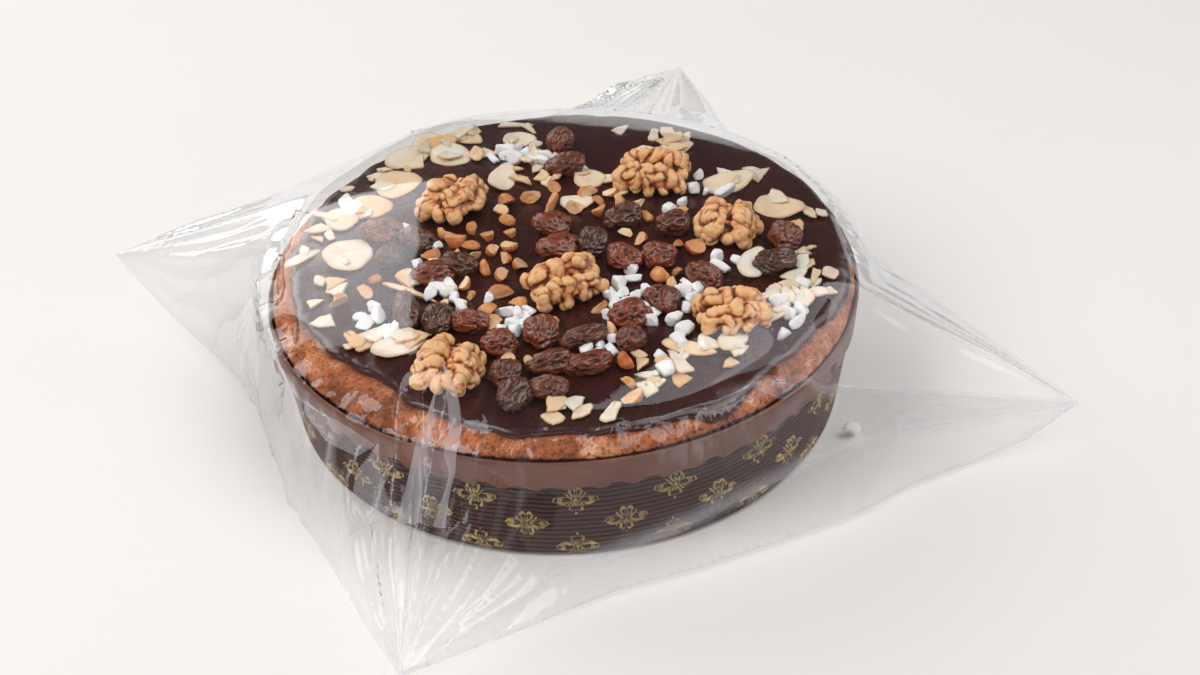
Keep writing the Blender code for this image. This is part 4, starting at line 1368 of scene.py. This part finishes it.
def buildAlmonds():
    draw = random.Random(51)
    wholes = [almondShape("almond", draw, False) for _ in range(almondLook["wholeKinds"])]
    broken = [almondShape("almond", draw, True) for _ in range(almondLook["brokenKinds"])]
    thick = almondLook["thickness"]
    spots, laid = [], []

    def lay(x, y, long, wide, turn, lean, kind):
        reach = (long + wide) / 4
        layers = sum(1 for p, q, r in laid if math.hypot(p - x, q - y) < (r + reach) * 0.62)
        raised = min(layers, 4) * 0.6 * mm + reach * math.sin(math.radians(abs(lean))) * 0.6
        height = restHeight(x, y, reach, 0.3) + raised
        laid.append((x, y, reach))
        spots.append({"place": (x, y, height + thick * 0.4), "turn": (lean, draw.uniform(-6, 6), turn),
                      "size": (long, wide, thick), "kind": kind, "tone": draw.random() ** 2})

    for x, y, long, wide, turn, lean in almondLook["wholes"]:
        lay(x * mm, y * mm, long * mm, wide * mm, turn, lean, draw.randrange(len(wholes)))
    for angle, distance, along, across, count in almondLook["drifts"]:
        for _ in range(count):
            for _ in range(40):
                a = math.radians(angle)
                out = distance * mm + draw.gauss(0, across * mm)
                aside = draw.gauss(0, along * mm)
                x, y = math.cos(a) * out - math.sin(a) * aside, math.sin(a) * out + math.cos(a) * aside
                long = draw.uniform(*almondLook["size"]) * mm
                inside = math.hypot(x, y) + long * 0.35 < float(glazeReach(math.degrees(math.atan2(y, x))))
                clear = all(math.hypot(x - m[0], y - m[1]) > r * 0.9 for m, r, _ in occupied)
                if inside and clear:
                    lay(x, y, long, long * draw.uniform(0.45, 0.8), draw.uniform(0, 360),
                        draw.uniform(-14, 14), len(wholes) + draw.randrange(len(broken)))
                    break
    ivory = slicedAlmond()
    putOn(scatterPiece("almondSlices", wholes + broken, spots, ivory, scatter), ivory, ["glaze"])


buildAlmonds()
print("almonds sliced")


# clear film bag

# places in mm; each crease runs through its points, and the film lies flat between creases
film = {
    "seam": ((179, -43, 13), (160, -52, 5), (143, -58, 1.5), (117, -70, 1.5), (99, -83, 1.5), (73, -95, 1.5),
             (42, -108, 1.5), (15, -117, 1.5), (-24, -138, 1.5), (-54, -158, 6), (-66, -132, 2),
             (-77, -107, 1.5), (-86, -88, 1.5), (-97, -66, 2), (-104, -44, 4), (-112, -18, 4), (-120, 2, 3),
             (-134, 22, 3), (-152, 46, 4), (-176, 74, 14), (-147, 102, 5), (-110, 113, 4), (-72, 130, 4),
             (-40, 152, 4), (-12, 178, 3), (9, 191, 3), (24, 203, 6), (52, 203, 15), (62, 180, 9),
             (71, 158, 5), (80, 120, 5), (92, 93, 5), (103, 76, 5), (115, 59, 5), (123, 43, 5), (133, 32, 5),
             (151, 12, 6)),
    "creases": (
        # right corner: the ridge, the edge of the bright panel, the fold above the seam
        ((52, 26, 68), (79, -1, 64), (103, -29, 56), (179, -43, 13)),
        ((50, -86, 55.5), (77, -74, 50), (90, -70, 45), (179, -43, 13)),
        ((-54, -158, 6), (-7, -120, 10), (22, -109, 13), (45, -100, 17), (84, -78, 21), (113, -65, 23),
         (150, -53, 19), (179, -43, 13)),
        ((84, 60, 55), (100, 36, 51), (112, 14, 40), (179, -43, 13)),
        ((96, 2, 56), (112, 14, 40)),
        # left corner
        ((-60, 34, 66), (-86, 42, 58), (-110, 50, 47), (-143, 62, 30), (-176, 74, 14)),
        ((-90, 10, 58), (-107, 22, 46), (-138, 50, 27), (-176, 74, 14)),
        ((-107, 22, 46), (-114, 26, 30), (-121, 12, 14), (-112, -18, 4)),
        ((-152, 46, 4), (-131, 38, 24), (-107, 22, 46)),
        ((-134, 22, 3), (-126, 28, 17), (-131, 38, 24)),
        ((-176, 74, 14), (-143, 76, 26), (-110, 78, 36), (-82, 62, 56)),
        ((-110, 78, 36), (-110, 113, 4)),
        ((-143, 76, 26), (-147, 102, 5)),
        ((-121, 12, 14), (-105, 2, 47)),
        # between the left corner and the front corner, crumpled
        ((-98, -30, 54), (-105, -22, 45), (-109, -32, 22), (-104, -44, 4)),
        ((-105, -22, 45), (-113, -8, 18), (-120, 2, 3)),
        ((-90, -47, 55), (-98, -50, 36), (-102, -54, 12), (-97, -66, 2)),
        ((-98, -50, 36), (-94, -64, 22), (-88, -80, 6)),
        ((-80, -62, 55), (-86, -70, 34), (-94, -64, 22)),
        ((-86, -70, 34), (-84, -84, 16), (-77, -107, 1.5)),
        ((-70, -74, 54), (-77, -80, 40), (-84, -84, 16)),
        # front corner: narrow folds that climb over the rim, and a loose flap
        ((-39, -70, 66), (-46, -112, 37), (-54, -158, 6)),
        ((-45, -78, 62), (-51, -109, 27), (-54, -158, 6)),
        ((-52, -80, 60), (-57, -109, 35), (-54, -158, 6)),
        ((-59, -80, 58), (-64, -105, 22), (-60, -130, 12), (-54, -158, 6)),
        ((-68, -76, 56), (-73, -99, 30), (-66, -126, 17), (-54, -158, 6)),
        ((-34, -80, 62), (-40, -108, 27), (-47, -134, 16), (-54, -158, 6)),
        ((-22, -95, 55), (-33, -113, 31), (-42, -130, 22), (-54, -158, 6)),
        ((-42, -130, 22), (-34, -132, 10), (-24, -138, 1.5)),
        ((-6, -98, 55), (-19, -113, 20), (-34, -132, 10)),
        ((-73, -99, 30), (-77, -107, 1.5)),
        # far corner: pleats that fan out
        ((30, 88, 58), (34, 104, 48), (52, 203, 15)),
        ((44, 82, 58), (49, 100, 46), (50, 150, 24), (52, 203, 15)),
        ((56, 76, 58), (64, 92, 47), (60, 140, 26), (52, 203, 15)),
        ((16, 94, 57), (18, 108, 47), (28, 160, 20), (24, 203, 6)),
        ((0, 97, 57), (0, 112, 44), (9, 191, 3)),
        ((66, 70, 57), (80, 92, 36), (66, 140, 16), (62, 180, 9)),
        ((-20, 96, 57), (-24, 114, 40), (-12, 178, 3)),
        ((-46, 84, 57), (-54, 98, 42), (-40, 152, 4)),
    ),
    "rimRing": (108.3, 47.5, 36),     # radius, height and number of points where the film turns over the rim
    "shoulderRing": (97.5, 57.5, 30),
    # corner, reach of its pleats, their height, how many per radian and a phase
    "pleats": (((179, -43), 120, 0.5, 11, 0.4), ((-176, 74), 115, 1.3, 15, 1.1),
               ((-54, -158), 85, 1.5, 17, 2.0), ((52, 203), 130, 2.2, 16, 0.7)),
    "crumple": (-146, 56, 3.2, 0.7),  # middle angle, half width, height there, height elsewhere
    "cornerFrom": 138,                # a seam farther out than this belongs to a corner
    "clearance": 2.5,
    "rounding": 1.5,
    "wallGap": 1.6,                   # how far the film stays outside the paper case
    "wallEase": 1.2,                  # how softly it eases off from there
    "cell": 1.9,
    # how white each kind of fold is, partly the film's own whitening and partly a painted highlight, how wide
    # it is in mm, and the folds that show most
    "whitened": (0.1, 0.42, 1.3),
    "sharpFolds": (0, 1, 2, 5, 7),
    # doubled folds that lie over the rim at the front: how milky, the milk partly the doubled film's own and
    # partly a painted highlight, then each fold's two sides
    "tucks": (
        (0.36, ((-38, -81, 71), (-41, -88, 64), (-45, -90, 54), (-48, -95, 47), (-51, -95, 37),
                (-54, -94, 25), (-57, -95, 16)),
         ((-38, -82, 71), (-41, -89, 64), (-42, -93, 54), (-44, -97, 46), (-46, -96, 36), (-48, -94, 24),
          (-49, -94, 15))),
        (0.36, ((-38, -82, 71), (-37, -90, 64), (-37, -90, 54), (-37, -96, 47), (-36, -95, 38),
                (-40, -94, 28), (-45, -95, 14)),
         ((-37, -83, 71), (-33, -90, 64), (-33, -92, 55), (-33, -97, 49), (-35, -97, 39), (-38, -95, 29),
          (-41, -96, 14))),
        (0.1, ((-40, -86, 67), (-42, -93, 54), (-44, -97, 46), (-46, -96, 36), (-48, -94, 24),
               (-49, -94, 15)),
         ((-37, -86, 67), (-37, -93, 54), (-37, -96, 47), (-36, -95, 38), (-40, -94, 28), (-45, -95, 14))),
        (0.22, ((-86, -66, 46), (-73, -79, 47), (-61, -92, 47)),
         ((-86, -66, 40), (-79, -76, 36), (-68, -89, 40))),
        (0.2, ((-96, -46, 50), (-93, -52, 42), (-90, -59, 30), (-89, -64, 24)),
         ((-95, -46, 50), (-89, -59, 47), (-87, -61, 42), (-89, -65, 25))),
        (0.24, ((-60, -92, 48), (-64, -92, 42), (-69, -90, 34), (-74, -92, 8)),
         ((-60, -93, 48), (-60, -95, 38), (-59, -95, 27), (-55, -95, 22))),
        (0.25, ((-88, -62, 22), (-84, -69, 14), (-80, -74, 6)),
         ((-88, -62, 22), (-77, -74, 20), (-79, -75, 8))),
    ),
}


def contentHeights(cell=2.0, half=112):
    # the highest point of the toppings and glaze over each cell of a square grid, in mm
    count = int(2 * half / cell) + 1
    heights = np.zeros((count, count))
    for piece in bpy.data.objects:
        if piece.name in ("walnutHalves", "raisins", "choppedHazelnuts", "pearlSugar", "almondSlices",
                          "pouredGlaze", "spongeTop", "foldedCollar"):
            co = np.empty(len(piece.data.vertices) * 3)
            piece.data.vertices.foreach_get("co", co)
            co = co.reshape(-1, 3) / mm
            i = np.clip(((co[:, 0] + half) / cell + 0.5).astype(int), 0, count - 1)
            j = np.clip(((co[:, 1] + half) / cell + 0.5).astype(int), 0, count - 1)
            np.maximum.at(heights, (i, j), co[:, 2])
    for axis in (0, 1):
        for step in (1, -1):
            heights = np.maximum(heights, np.roll(heights, step, axis))
    return heights, cell, half


def seamDistance(angle):
    # how far out the seam lies in a direction
    way = Vector((math.cos(angle), math.sin(angle)))
    return seamAlong(way)[0]


def seamAlong(way):
    # distance and height of the seam where a ray from the middle meets it
    border = film["seam"]
    for p, q in zip(border, border[1:] + border[:1]):
        side = Vector((q[0] - p[0], q[1] - p[1]))
        cross = way.x * side.y - way.y * side.x
        if abs(cross) < 1e-9:
            continue
        out = (p[0] * side.y - p[1] * side.x) / cross
        t = (p[0] * way.y - p[1] * way.x) / cross
        if out > 0 and -1e-6 <= t <= 1 + 1e-6:
            return out, p[2] + (q[2] - p[2]) * t
    return 0, 0


def upperSheet(planes):
    # flat panels between the creases, which start from the taut film over the toppings, split fine
    places, edges = [], []

    def place(point):
        for i, known in enumerate(places):
            if math.dist(known[:2], point[:2]) < 0.8:
                return i
        if math.hypot(point[0], point[1]) < 99:
            point = (point[0], point[1], float(tautHeight(planes, point[0], point[1])[0]))
        places.append(point)
        return len(places) - 1

    seam = [place(p) for p in film["seam"]]
    outline = list(zip(seam, seam[1:] + seam[:1]))
    for crease in film["creases"]:
        run = [place(p) for p in crease]
        edges += list(zip(run, run[1:]))
    draw = random.Random(61)
    for radius, height, count in (film["shoulderRing"], film["rimRing"]):
        for k in range(count):
            a = 2 * math.pi * (k + draw.uniform(-0.2, 0.2)) / count
            p = (radius * math.cos(a), radius * math.sin(a), height + draw.uniform(-0.6, 0.6))
            near = min(distanceToCreases(p, places, edges), 99)
            inCorner = radius > 100 and seamDistance(a) > film["cornerFrom"]
            if near > 5 and not inCorner:
                place(p)
    flat = [Vector(p[:2]) for p in places]
    coords, _, faces, origin, _, _ = delaunay_2d_cdt(flat, edges + outline, [], 0, 1e-4, True)
    heights = crossHeights(coords, origin, places, edges + outline)
    bm = bmesh.new()
    verts = [bm.verts.new((c.x, c.y, h)) for c, h in zip(coords, heights)]
    border = [places[i][:2] for i in seam]
    for face in faces:
        middle = sum((coords[i] for i in face), Vector((0, 0))) / len(face)
        if insidePolygon(middle, border):
            bm.faces.new([verts[i] for i in face])
    bmesh.ops.delete(bm, geom=[v for v in bm.verts if not v.link_faces], context="VERTS")
    for _ in range(8):
        long = [e for e in bm.edges if e.calc_length() > film["cell"] * 1.4]
        if not long:
            break
        bmesh.ops.subdivide_edges(bm, edges=long, cuts=1)
        bmesh.ops.triangulate(bm, faces=[f for f in bm.faces if len(f.verts) > 3])
    return bm


def tautPlanes(heights, cell, half):
    # the upper faces of the hull round the toppings and the four corners: (slope x, slope y, height) of each
    i, j = np.nonzero(heights > 40)
    tops = np.column_stack([i * cell - half, j * cell - half, heights[i, j] + film["clearance"]])
    tops = tops[np.hypot(tops[:, 0], tops[:, 1]) < 104]
    corners = sorted(film["seam"], key=lambda p: -math.hypot(p[0], p[1]))[:4]
    bm = bmesh.new()
    for p in (*tops.tolist(), *corners):
        bm.verts.new(p)
    bmesh.ops.convex_hull(bm, input=bm.verts)
    bm.normal_update()
    planes = []
    for face in bm.faces:
        n = face.normal
        if n.z > 0.02:
            planes.append((-n.x / n.z, -n.y / n.z, n.dot(face.verts[0].co) / n.z))
    bm.free()
    # faces that lie almost in one plane count as one
    kept = []
    for plane in sorted(planes):
        if all(abs(plane[0] - p[0]) + abs(plane[1] - p[1]) > 0.02 for p in kept):
            kept.append(plane)
    return kept


def tautHeight(planes, x, y):
    # a hull's upper side is the lowest of its planes, rounded off where they meet
    x, y = np.atleast_1d(x), np.atleast_1d(y)
    lowest = np.full(x.shape, 1e9)
    for a, b, c in planes:
        lowest = np.minimum(lowest, a * x + b * y + c)
    near = np.zeros(x.shape)
    for a, b, c in planes:
        near += np.exp(np.minimum(0, (lowest - a * x - b * y - c) / film["rounding"]))
    return lowest - film["rounding"] * (np.log(near) - 1.7)


def foldSheet(co, normals, free):
    # pleats that fan out from the corners, and a crumpled side
    radius = np.hypot(co[:, 0], co[:, 1])
    outside = smoothStep((radius - 102) / 12)
    for (x, y), reach, height, often, phase in film["pleats"]:
        away = np.hypot(co[:, 0] - x, co[:, 1] - y)
        turn = np.arctan2(co[:, 1] - y, co[:, 0] - x) - math.atan2(-y, -x)
        turn = (turn + math.pi) % (2 * math.pi) - math.pi
        wave = turn * often + phase + 0.8 * np.sin(turn * 7 + phase)
        saw = 0.5 + np.arcsin(0.96 * np.sin(wave * math.pi)) / math.pi
        fade = smoothStep(away / 35) * smoothStep((reach - away) / 50)
        co += normals * (height * (saw - 0.2) * fade * outside * free)[:, None]
    middle, half, strong, weak = film["crumple"]
    angle = np.degrees(np.arctan2(co[:, 1], co[:, 0]))
    share = smoothStep(1.4 - np.abs((angle - middle + 180) % 360 - 180) / half)
    # narrow folds that run up the side: quick changes round the torte, slow ones up and out
    along = np.column_stack([np.radians(angle) * 8.5, co[:, 2] * 0.022, radius * 0.016])
    crease = np.sqrt(noiseAt(along, 1.0, 11.0) ** 2 + 0.012)
    crease += 0.3 * np.sqrt(noiseAt(along, 2.3, 17.0) ** 2 + 0.02)
    shoulder = smoothStep((radius - 94) / 14)
    co += normals * ((weak + (strong - weak) * share) * (crease - 0.1) * shoulder * free)[:, None]
    return co


def foldWhiteAndHighlight(co):
    # film whitens where it has been folded, and a painted highlight runs along the creases: both by each
    # point's distance from the creases
    faint, strong, width = film["whitened"]
    white = np.zeros(len(co))
    for k, crease in enumerate(film["creases"]):
        level = strong if k in film["sharpFolds"] else faint
        for p, q in zip(crease, crease[1:]):
            a, way = np.array(p[:2]), np.array(q[:2]) - np.array(p[:2])
            t = np.clip((co[:, :2] - a) @ way / max(way @ way, 1e-9), 0, 1)
            gap = np.linalg.norm(co[:, :2] - a - t[:, None] * way, axis=1)
            white = np.maximum(white, level * np.clip(1 - gap / width, 0, 1))
    return white * smoothStep((np.hypot(co[:, 0], co[:, 1]) - 97) / 8)


def insidePolygon(point, border):
    inside = False
    for (x1, y1), (x2, y2) in zip(border, border[1:] + border[:1]):
        if (y1 > point[1]) != (y2 > point[1]) and point[0] < (x2 - x1) * (point[1] - y1) / (y2 - y1) + x1:
            inside = not inside
    return inside


def distanceToCreases(point, places, edges):
    best = 1e9
    for a, b in edges:
        p, q = Vector(places[a][:2]), Vector(places[b][:2])
        way = q - p
        t = max(0, min(1, (Vector(point[:2]) - p).dot(way) / max(way.length_squared, 1e-9)))
        best = min(best, (p + way * t - Vector(point[:2])).length)
    return best


def crossHeights(coords, origin, places, edges):
    # a given point keeps its height; one made where creases cross gets the height along a crease
    heights = []
    for c, given in zip(coords, origin):
        if given:
            heights.append(places[given[0]][2])
            continue
        best, height = 1e9, 30
        for a, b in edges:
            p, q = Vector(places[a][:2]), Vector(places[b][:2])
            way = q - p
            t = max(0, min(1, (c - p).dot(way) / max(way.length_squared, 1e-9)))
            gap = (p + way * t - c).length
            if gap < best:
                best, height = gap, places[a][2] + (places[b][2] - places[a][2]) * t
        heights.append(height)
    return heights


def drapeOver(co, edges, fixed, planes, grid, rounds=8):
    # taut over the toppings, outside the paper case, the folds a little rounded
    heights, cell, half = grid
    radius = np.hypot(co[:, 0], co[:, 1])
    share = smoothStep((103 - radius) / 7)
    co[:, 2] += (tautHeight(planes, co[:, 0], co[:, 1]) - co[:, 2]) * share
    count = len(co)
    degree = np.maximum(np.bincount(edges.ravel(), minlength=count), 1)[:, None]
    for step in range(rounds):
        if step % 3 == 0:
            total = np.zeros_like(co)
            for axis in range(3):
                total[:, axis] = (np.bincount(edges[:, 0], co[edges[:, 1], axis], count)
                                  + np.bincount(edges[:, 1], co[edges[:, 0], axis], count))
            soft = total / degree
            free = ~fixed
            co[free] += (soft[free] - co[free]) * 0.5
        radius = np.hypot(co[:, 0], co[:, 1])
        i = np.clip(((co[:, 0] + half) / cell + 0.5).astype(int), 0, len(heights) - 1)
        j = np.clip(((co[:, 1] + half) / cell + 0.5).astype(int), 0, len(heights) - 1)
        over = radius < 104.5
        co[over, 2] = np.maximum(co[over, 2], heights[i, j][over] + 0.4)
        co = keepOutside(co)
    return co


def keepOutside(co):
    # pushes the sheet clear of the paper case's wall, easing out of the push
    radius = np.hypot(co[:, 0], co[:, 1])
    foot, rim, high = torte["footRadius"] / mm, 105, 45
    wall = foot + (rim - foot) * np.clip(co[:, 2], 0, high + 1) / high + film["wallGap"]
    ease = film["wallEase"]
    eased = wall + ease * np.logaddexp(0, (radius - wall) / ease)
    share = smoothStep((53 - co[:, 2]) / 5) * (radius > 90)
    scale = 1 + (np.maximum(eased, radius) / np.maximum(radius, 1) - 1) * share
    return np.column_stack([co[:, 0] * scale, co[:, 1] * scale, co[:, 2]])


def lowerSheet():
    # the bag's underside, from the ring the torte stands on out to the seam
    around, rings, inner = 360, 14, 99.6
    shares = np.linspace(0, 1, rings)
    ways = [Vector((math.cos(a), math.sin(a))) for a in np.arange(around) * 2 * math.pi / around]
    ends = [seamAlong(way) for way in ways]
    rows = []
    for share in shares:
        for way, (out, height) in zip(ways, ends):
            radius = inner + (out - inner) * share
            rows.append((way.x * radius, way.y * radius, 0.5 + (height - 0.5) * share**2))
    verts = np.array(rows)
    verts[:, 2] += 0.35 * (1 + noiseAt(verts, 0.04)) * np.repeat(shares * (1 - shares) * 4, around)
    return verts, [tuple(reversed(f)) for f in gridFaces(rings, around)], np.repeat(shares > 0.99, around)


def tuckedFolds(start, steps=22, columns=5):
    # narrow second layers a little outside the sheet, each drawn between its two sides
    verts, faces, milkAndHighlight = [], [], []
    for strength, *sides in film["tucks"]:
        rails = []
        for side in sides:
            given = np.array(side, dtype=float)
            known = np.arange(len(given))
            fine = np.linspace(0, len(given) - 1, steps)
            rail = np.column_stack([np.interp(fine, known, given[:, k]) for k in range(3)])
            for _ in range(4):
                rail[1:-1] = (rail[:-2] + 2 * rail[1:-1] + rail[2:]) / 4
            rails.append(rail)
        first = start + len(verts)
        for k in range(columns):
            share = k / (columns - 1)
            row = rails[0] + (rails[1] - rails[0]) * share
            row = keepOutside(row)
            out = row[:, :2] / np.hypot(row[:, 0], row[:, 1])[:, None]
            row[:, :2] += out * (1.2 + 1.4 * share * (1 - share))
            verts += row.tolist()
        for k in range(columns - 1):
            for i in range(steps - 1):
                a = first + k * steps + i
                faces.append((a, a + 1, a + steps + 1, a + steps))
        # each strip's milkiness, partly a painted highlight
        milkAndHighlight += [strength] * (steps * columns)
    return np.array(verts), faces, milkAndHighlight


def vertexNormals(co, faces):
    mesh = bpy.data.meshes.new("draft")
    mesh.from_pydata(co.tolist(), [], faces)
    normals = np.empty(len(co) * 3)
    mesh.vertices.foreach_get("normal", normals)
    bpy.data.meshes.remove(mesh)
    normals = normals.reshape(-1, 3)
    return normals * np.where(normals[:, 2:] < 0, -1, 1)


def buildBag():
    grid = contentHeights()
    planes = tautPlanes(*grid)
    bm = upperSheet(planes)
    bm.verts.ensure_lookup_table()
    co = np.array([v.co[:] for v in bm.verts], dtype=float)
    edges = np.array([(e.verts[0].index, e.verts[1].index) for e in bm.edges])
    fixed = np.array([any(e.is_boundary for e in v.link_edges) for v in bm.verts])
    faces = [tuple(v.index for v in f.verts) for f in bm.faces]
    bm.free()
    co = drapeOver(co, edges, fixed, planes, grid)
    free = ~fixed
    sway = noiseAt(co, 0.02, 2.0) * 0.4 + noiseAt(co, 0.07, 5.0) * 0.08
    co[free, 2] += sway[free] + 0.2
    co = foldSheet(co, vertexNormals(co, faces), free.astype(float))
    co[free] = keepOutside(co)[free]
    lower, lowerFaces, lowerEdge = lowerSheet()
    shift = len(co)
    faces += [tuple(i + shift for i in f) for f in lowerFaces]
    tucks, tuckFaces, milkAndHighlight = tuckedFolds(len(co) + len(lower))
    faces += tuckFaces
    verts = np.concatenate([co, lower, tucks]) * mm
    piece = meshObject("clearBag", verts, faces)
    floatLayer(piece.data, "seam", np.concatenate([fixed, lowerEdge, np.zeros(len(tucks))]))
    # the folds' white, partly a painted highlight, and the tucked strips' milk, also partly a painted
    # highlight
    floatLayer(piece.data, "fold", np.concatenate([foldWhiteAndHighlight(co), np.zeros(len(lower)), milkAndHighlight]))
    putOn(piece, clearFilm(), ["film_bag"])


def clearFilm():
    # polypropylene film, cast thin: clear face on, mirror-like at a slant, milky where lamps catch it
    # slow waves 25 mm apart, as a loose film has
    material, tree = startMaterial("polypropylene film, cast")
    place = add(tree, "ShaderNodeTexCoord").outputs["Object"]
    seam = add(tree, "ShaderNodeAttribute", attribute_name="seam").outputs["Fac"]
    wave = add(tree, "ShaderNodeTexNoise", {"Vector": place, "Scale": 40.0, "Detail": 2.0}).outputs[0]
    bump = add(tree, "ShaderNodeBump", {"Height": wave, "Strength": 0.15, "Distance": 1.0 * mm}).outputs[0]
    facing = add(tree, "ShaderNodeLayerWeight", {"Blend": 0.5, "Normal": bump}).outputs["Facing"]
    slant = add(tree, "ShaderNodeMath", {0: facing, 1: 4.0}, operation="POWER").outputs[0]
    mirror = add(tree, "ShaderNodeMath", {0: slant, 1: 0.9, 2: 0.033}, operation="MULTIPLY_ADD").outputs[0]
    share = add(tree, "ShaderNodeMath", {0: seam, 1: 0.1, 2: mirror}, operation="MULTIPLY_ADD").outputs[0]
    clear = add(tree, "ShaderNodeBsdfTransparent", {"Color": (0.992, 0.992, 0.992, 1)})
    gloss = add(tree, "ShaderNodeBsdfGlossy",
                {"Color": (0.93, 0.95, 1.0, 1), "Roughness": 0.06, "Normal": bump})
    shining = add(tree, "ShaderNodeMixShader", {0: share, 1: clear.outputs[0], 2: gloss.outputs[0]})
    # white along the welded edge, the film's own, and along folds, partly stretched white and partly a
    # painted highlight
    fold = add(tree, "ShaderNodeAttribute", attribute_name="fold").outputs["Fac"]
    sheenAndWhitening = add(tree, "ShaderNodeMath", {0: seam, 1: 0.22, 2: fold}, operation="MULTIPLY_ADD").outputs[0]
    milkAndHighlight = add(tree, "ShaderNodeBsdfDiffuse", {"Color": (0.88, 0.88, 0.95, 1)})
    glow = add(tree, "ShaderNodeBsdfTranslucent", {"Color": (0.88, 0.88, 0.95, 1)})
    hazeAndHighlight = add(tree, "ShaderNodeMixShader", {0: 0.5, 1: milkAndHighlight.outputs[0], 2: glow.outputs[0]})
    mixed = add(tree, "ShaderNodeMixShader", {0: sheenAndWhitening, 1: shining.outputs[0], 2: hazeAndHighlight.outputs[0]})
    # what it mirrors still reaches the table, so its shadow is almost none
    shadow = add(tree, "ShaderNodeLightPath").outputs["Is Shadow Ray"]
    faint = add(tree, "ShaderNodeMath", {0: shadow, 1: 0.75}, operation="MULTIPLY").outputs[0]
    plain = add(tree, "ShaderNodeBsdfTransparent", {"Color": (1, 1, 1, 1)})
    finishMaterial(tree, add(tree, "ShaderNodeMixShader",
                             {0: faint, 1: mixed.outputs[0], 2: plain.outputs[0]}))
    return material


buildBag()
print("bag closed")
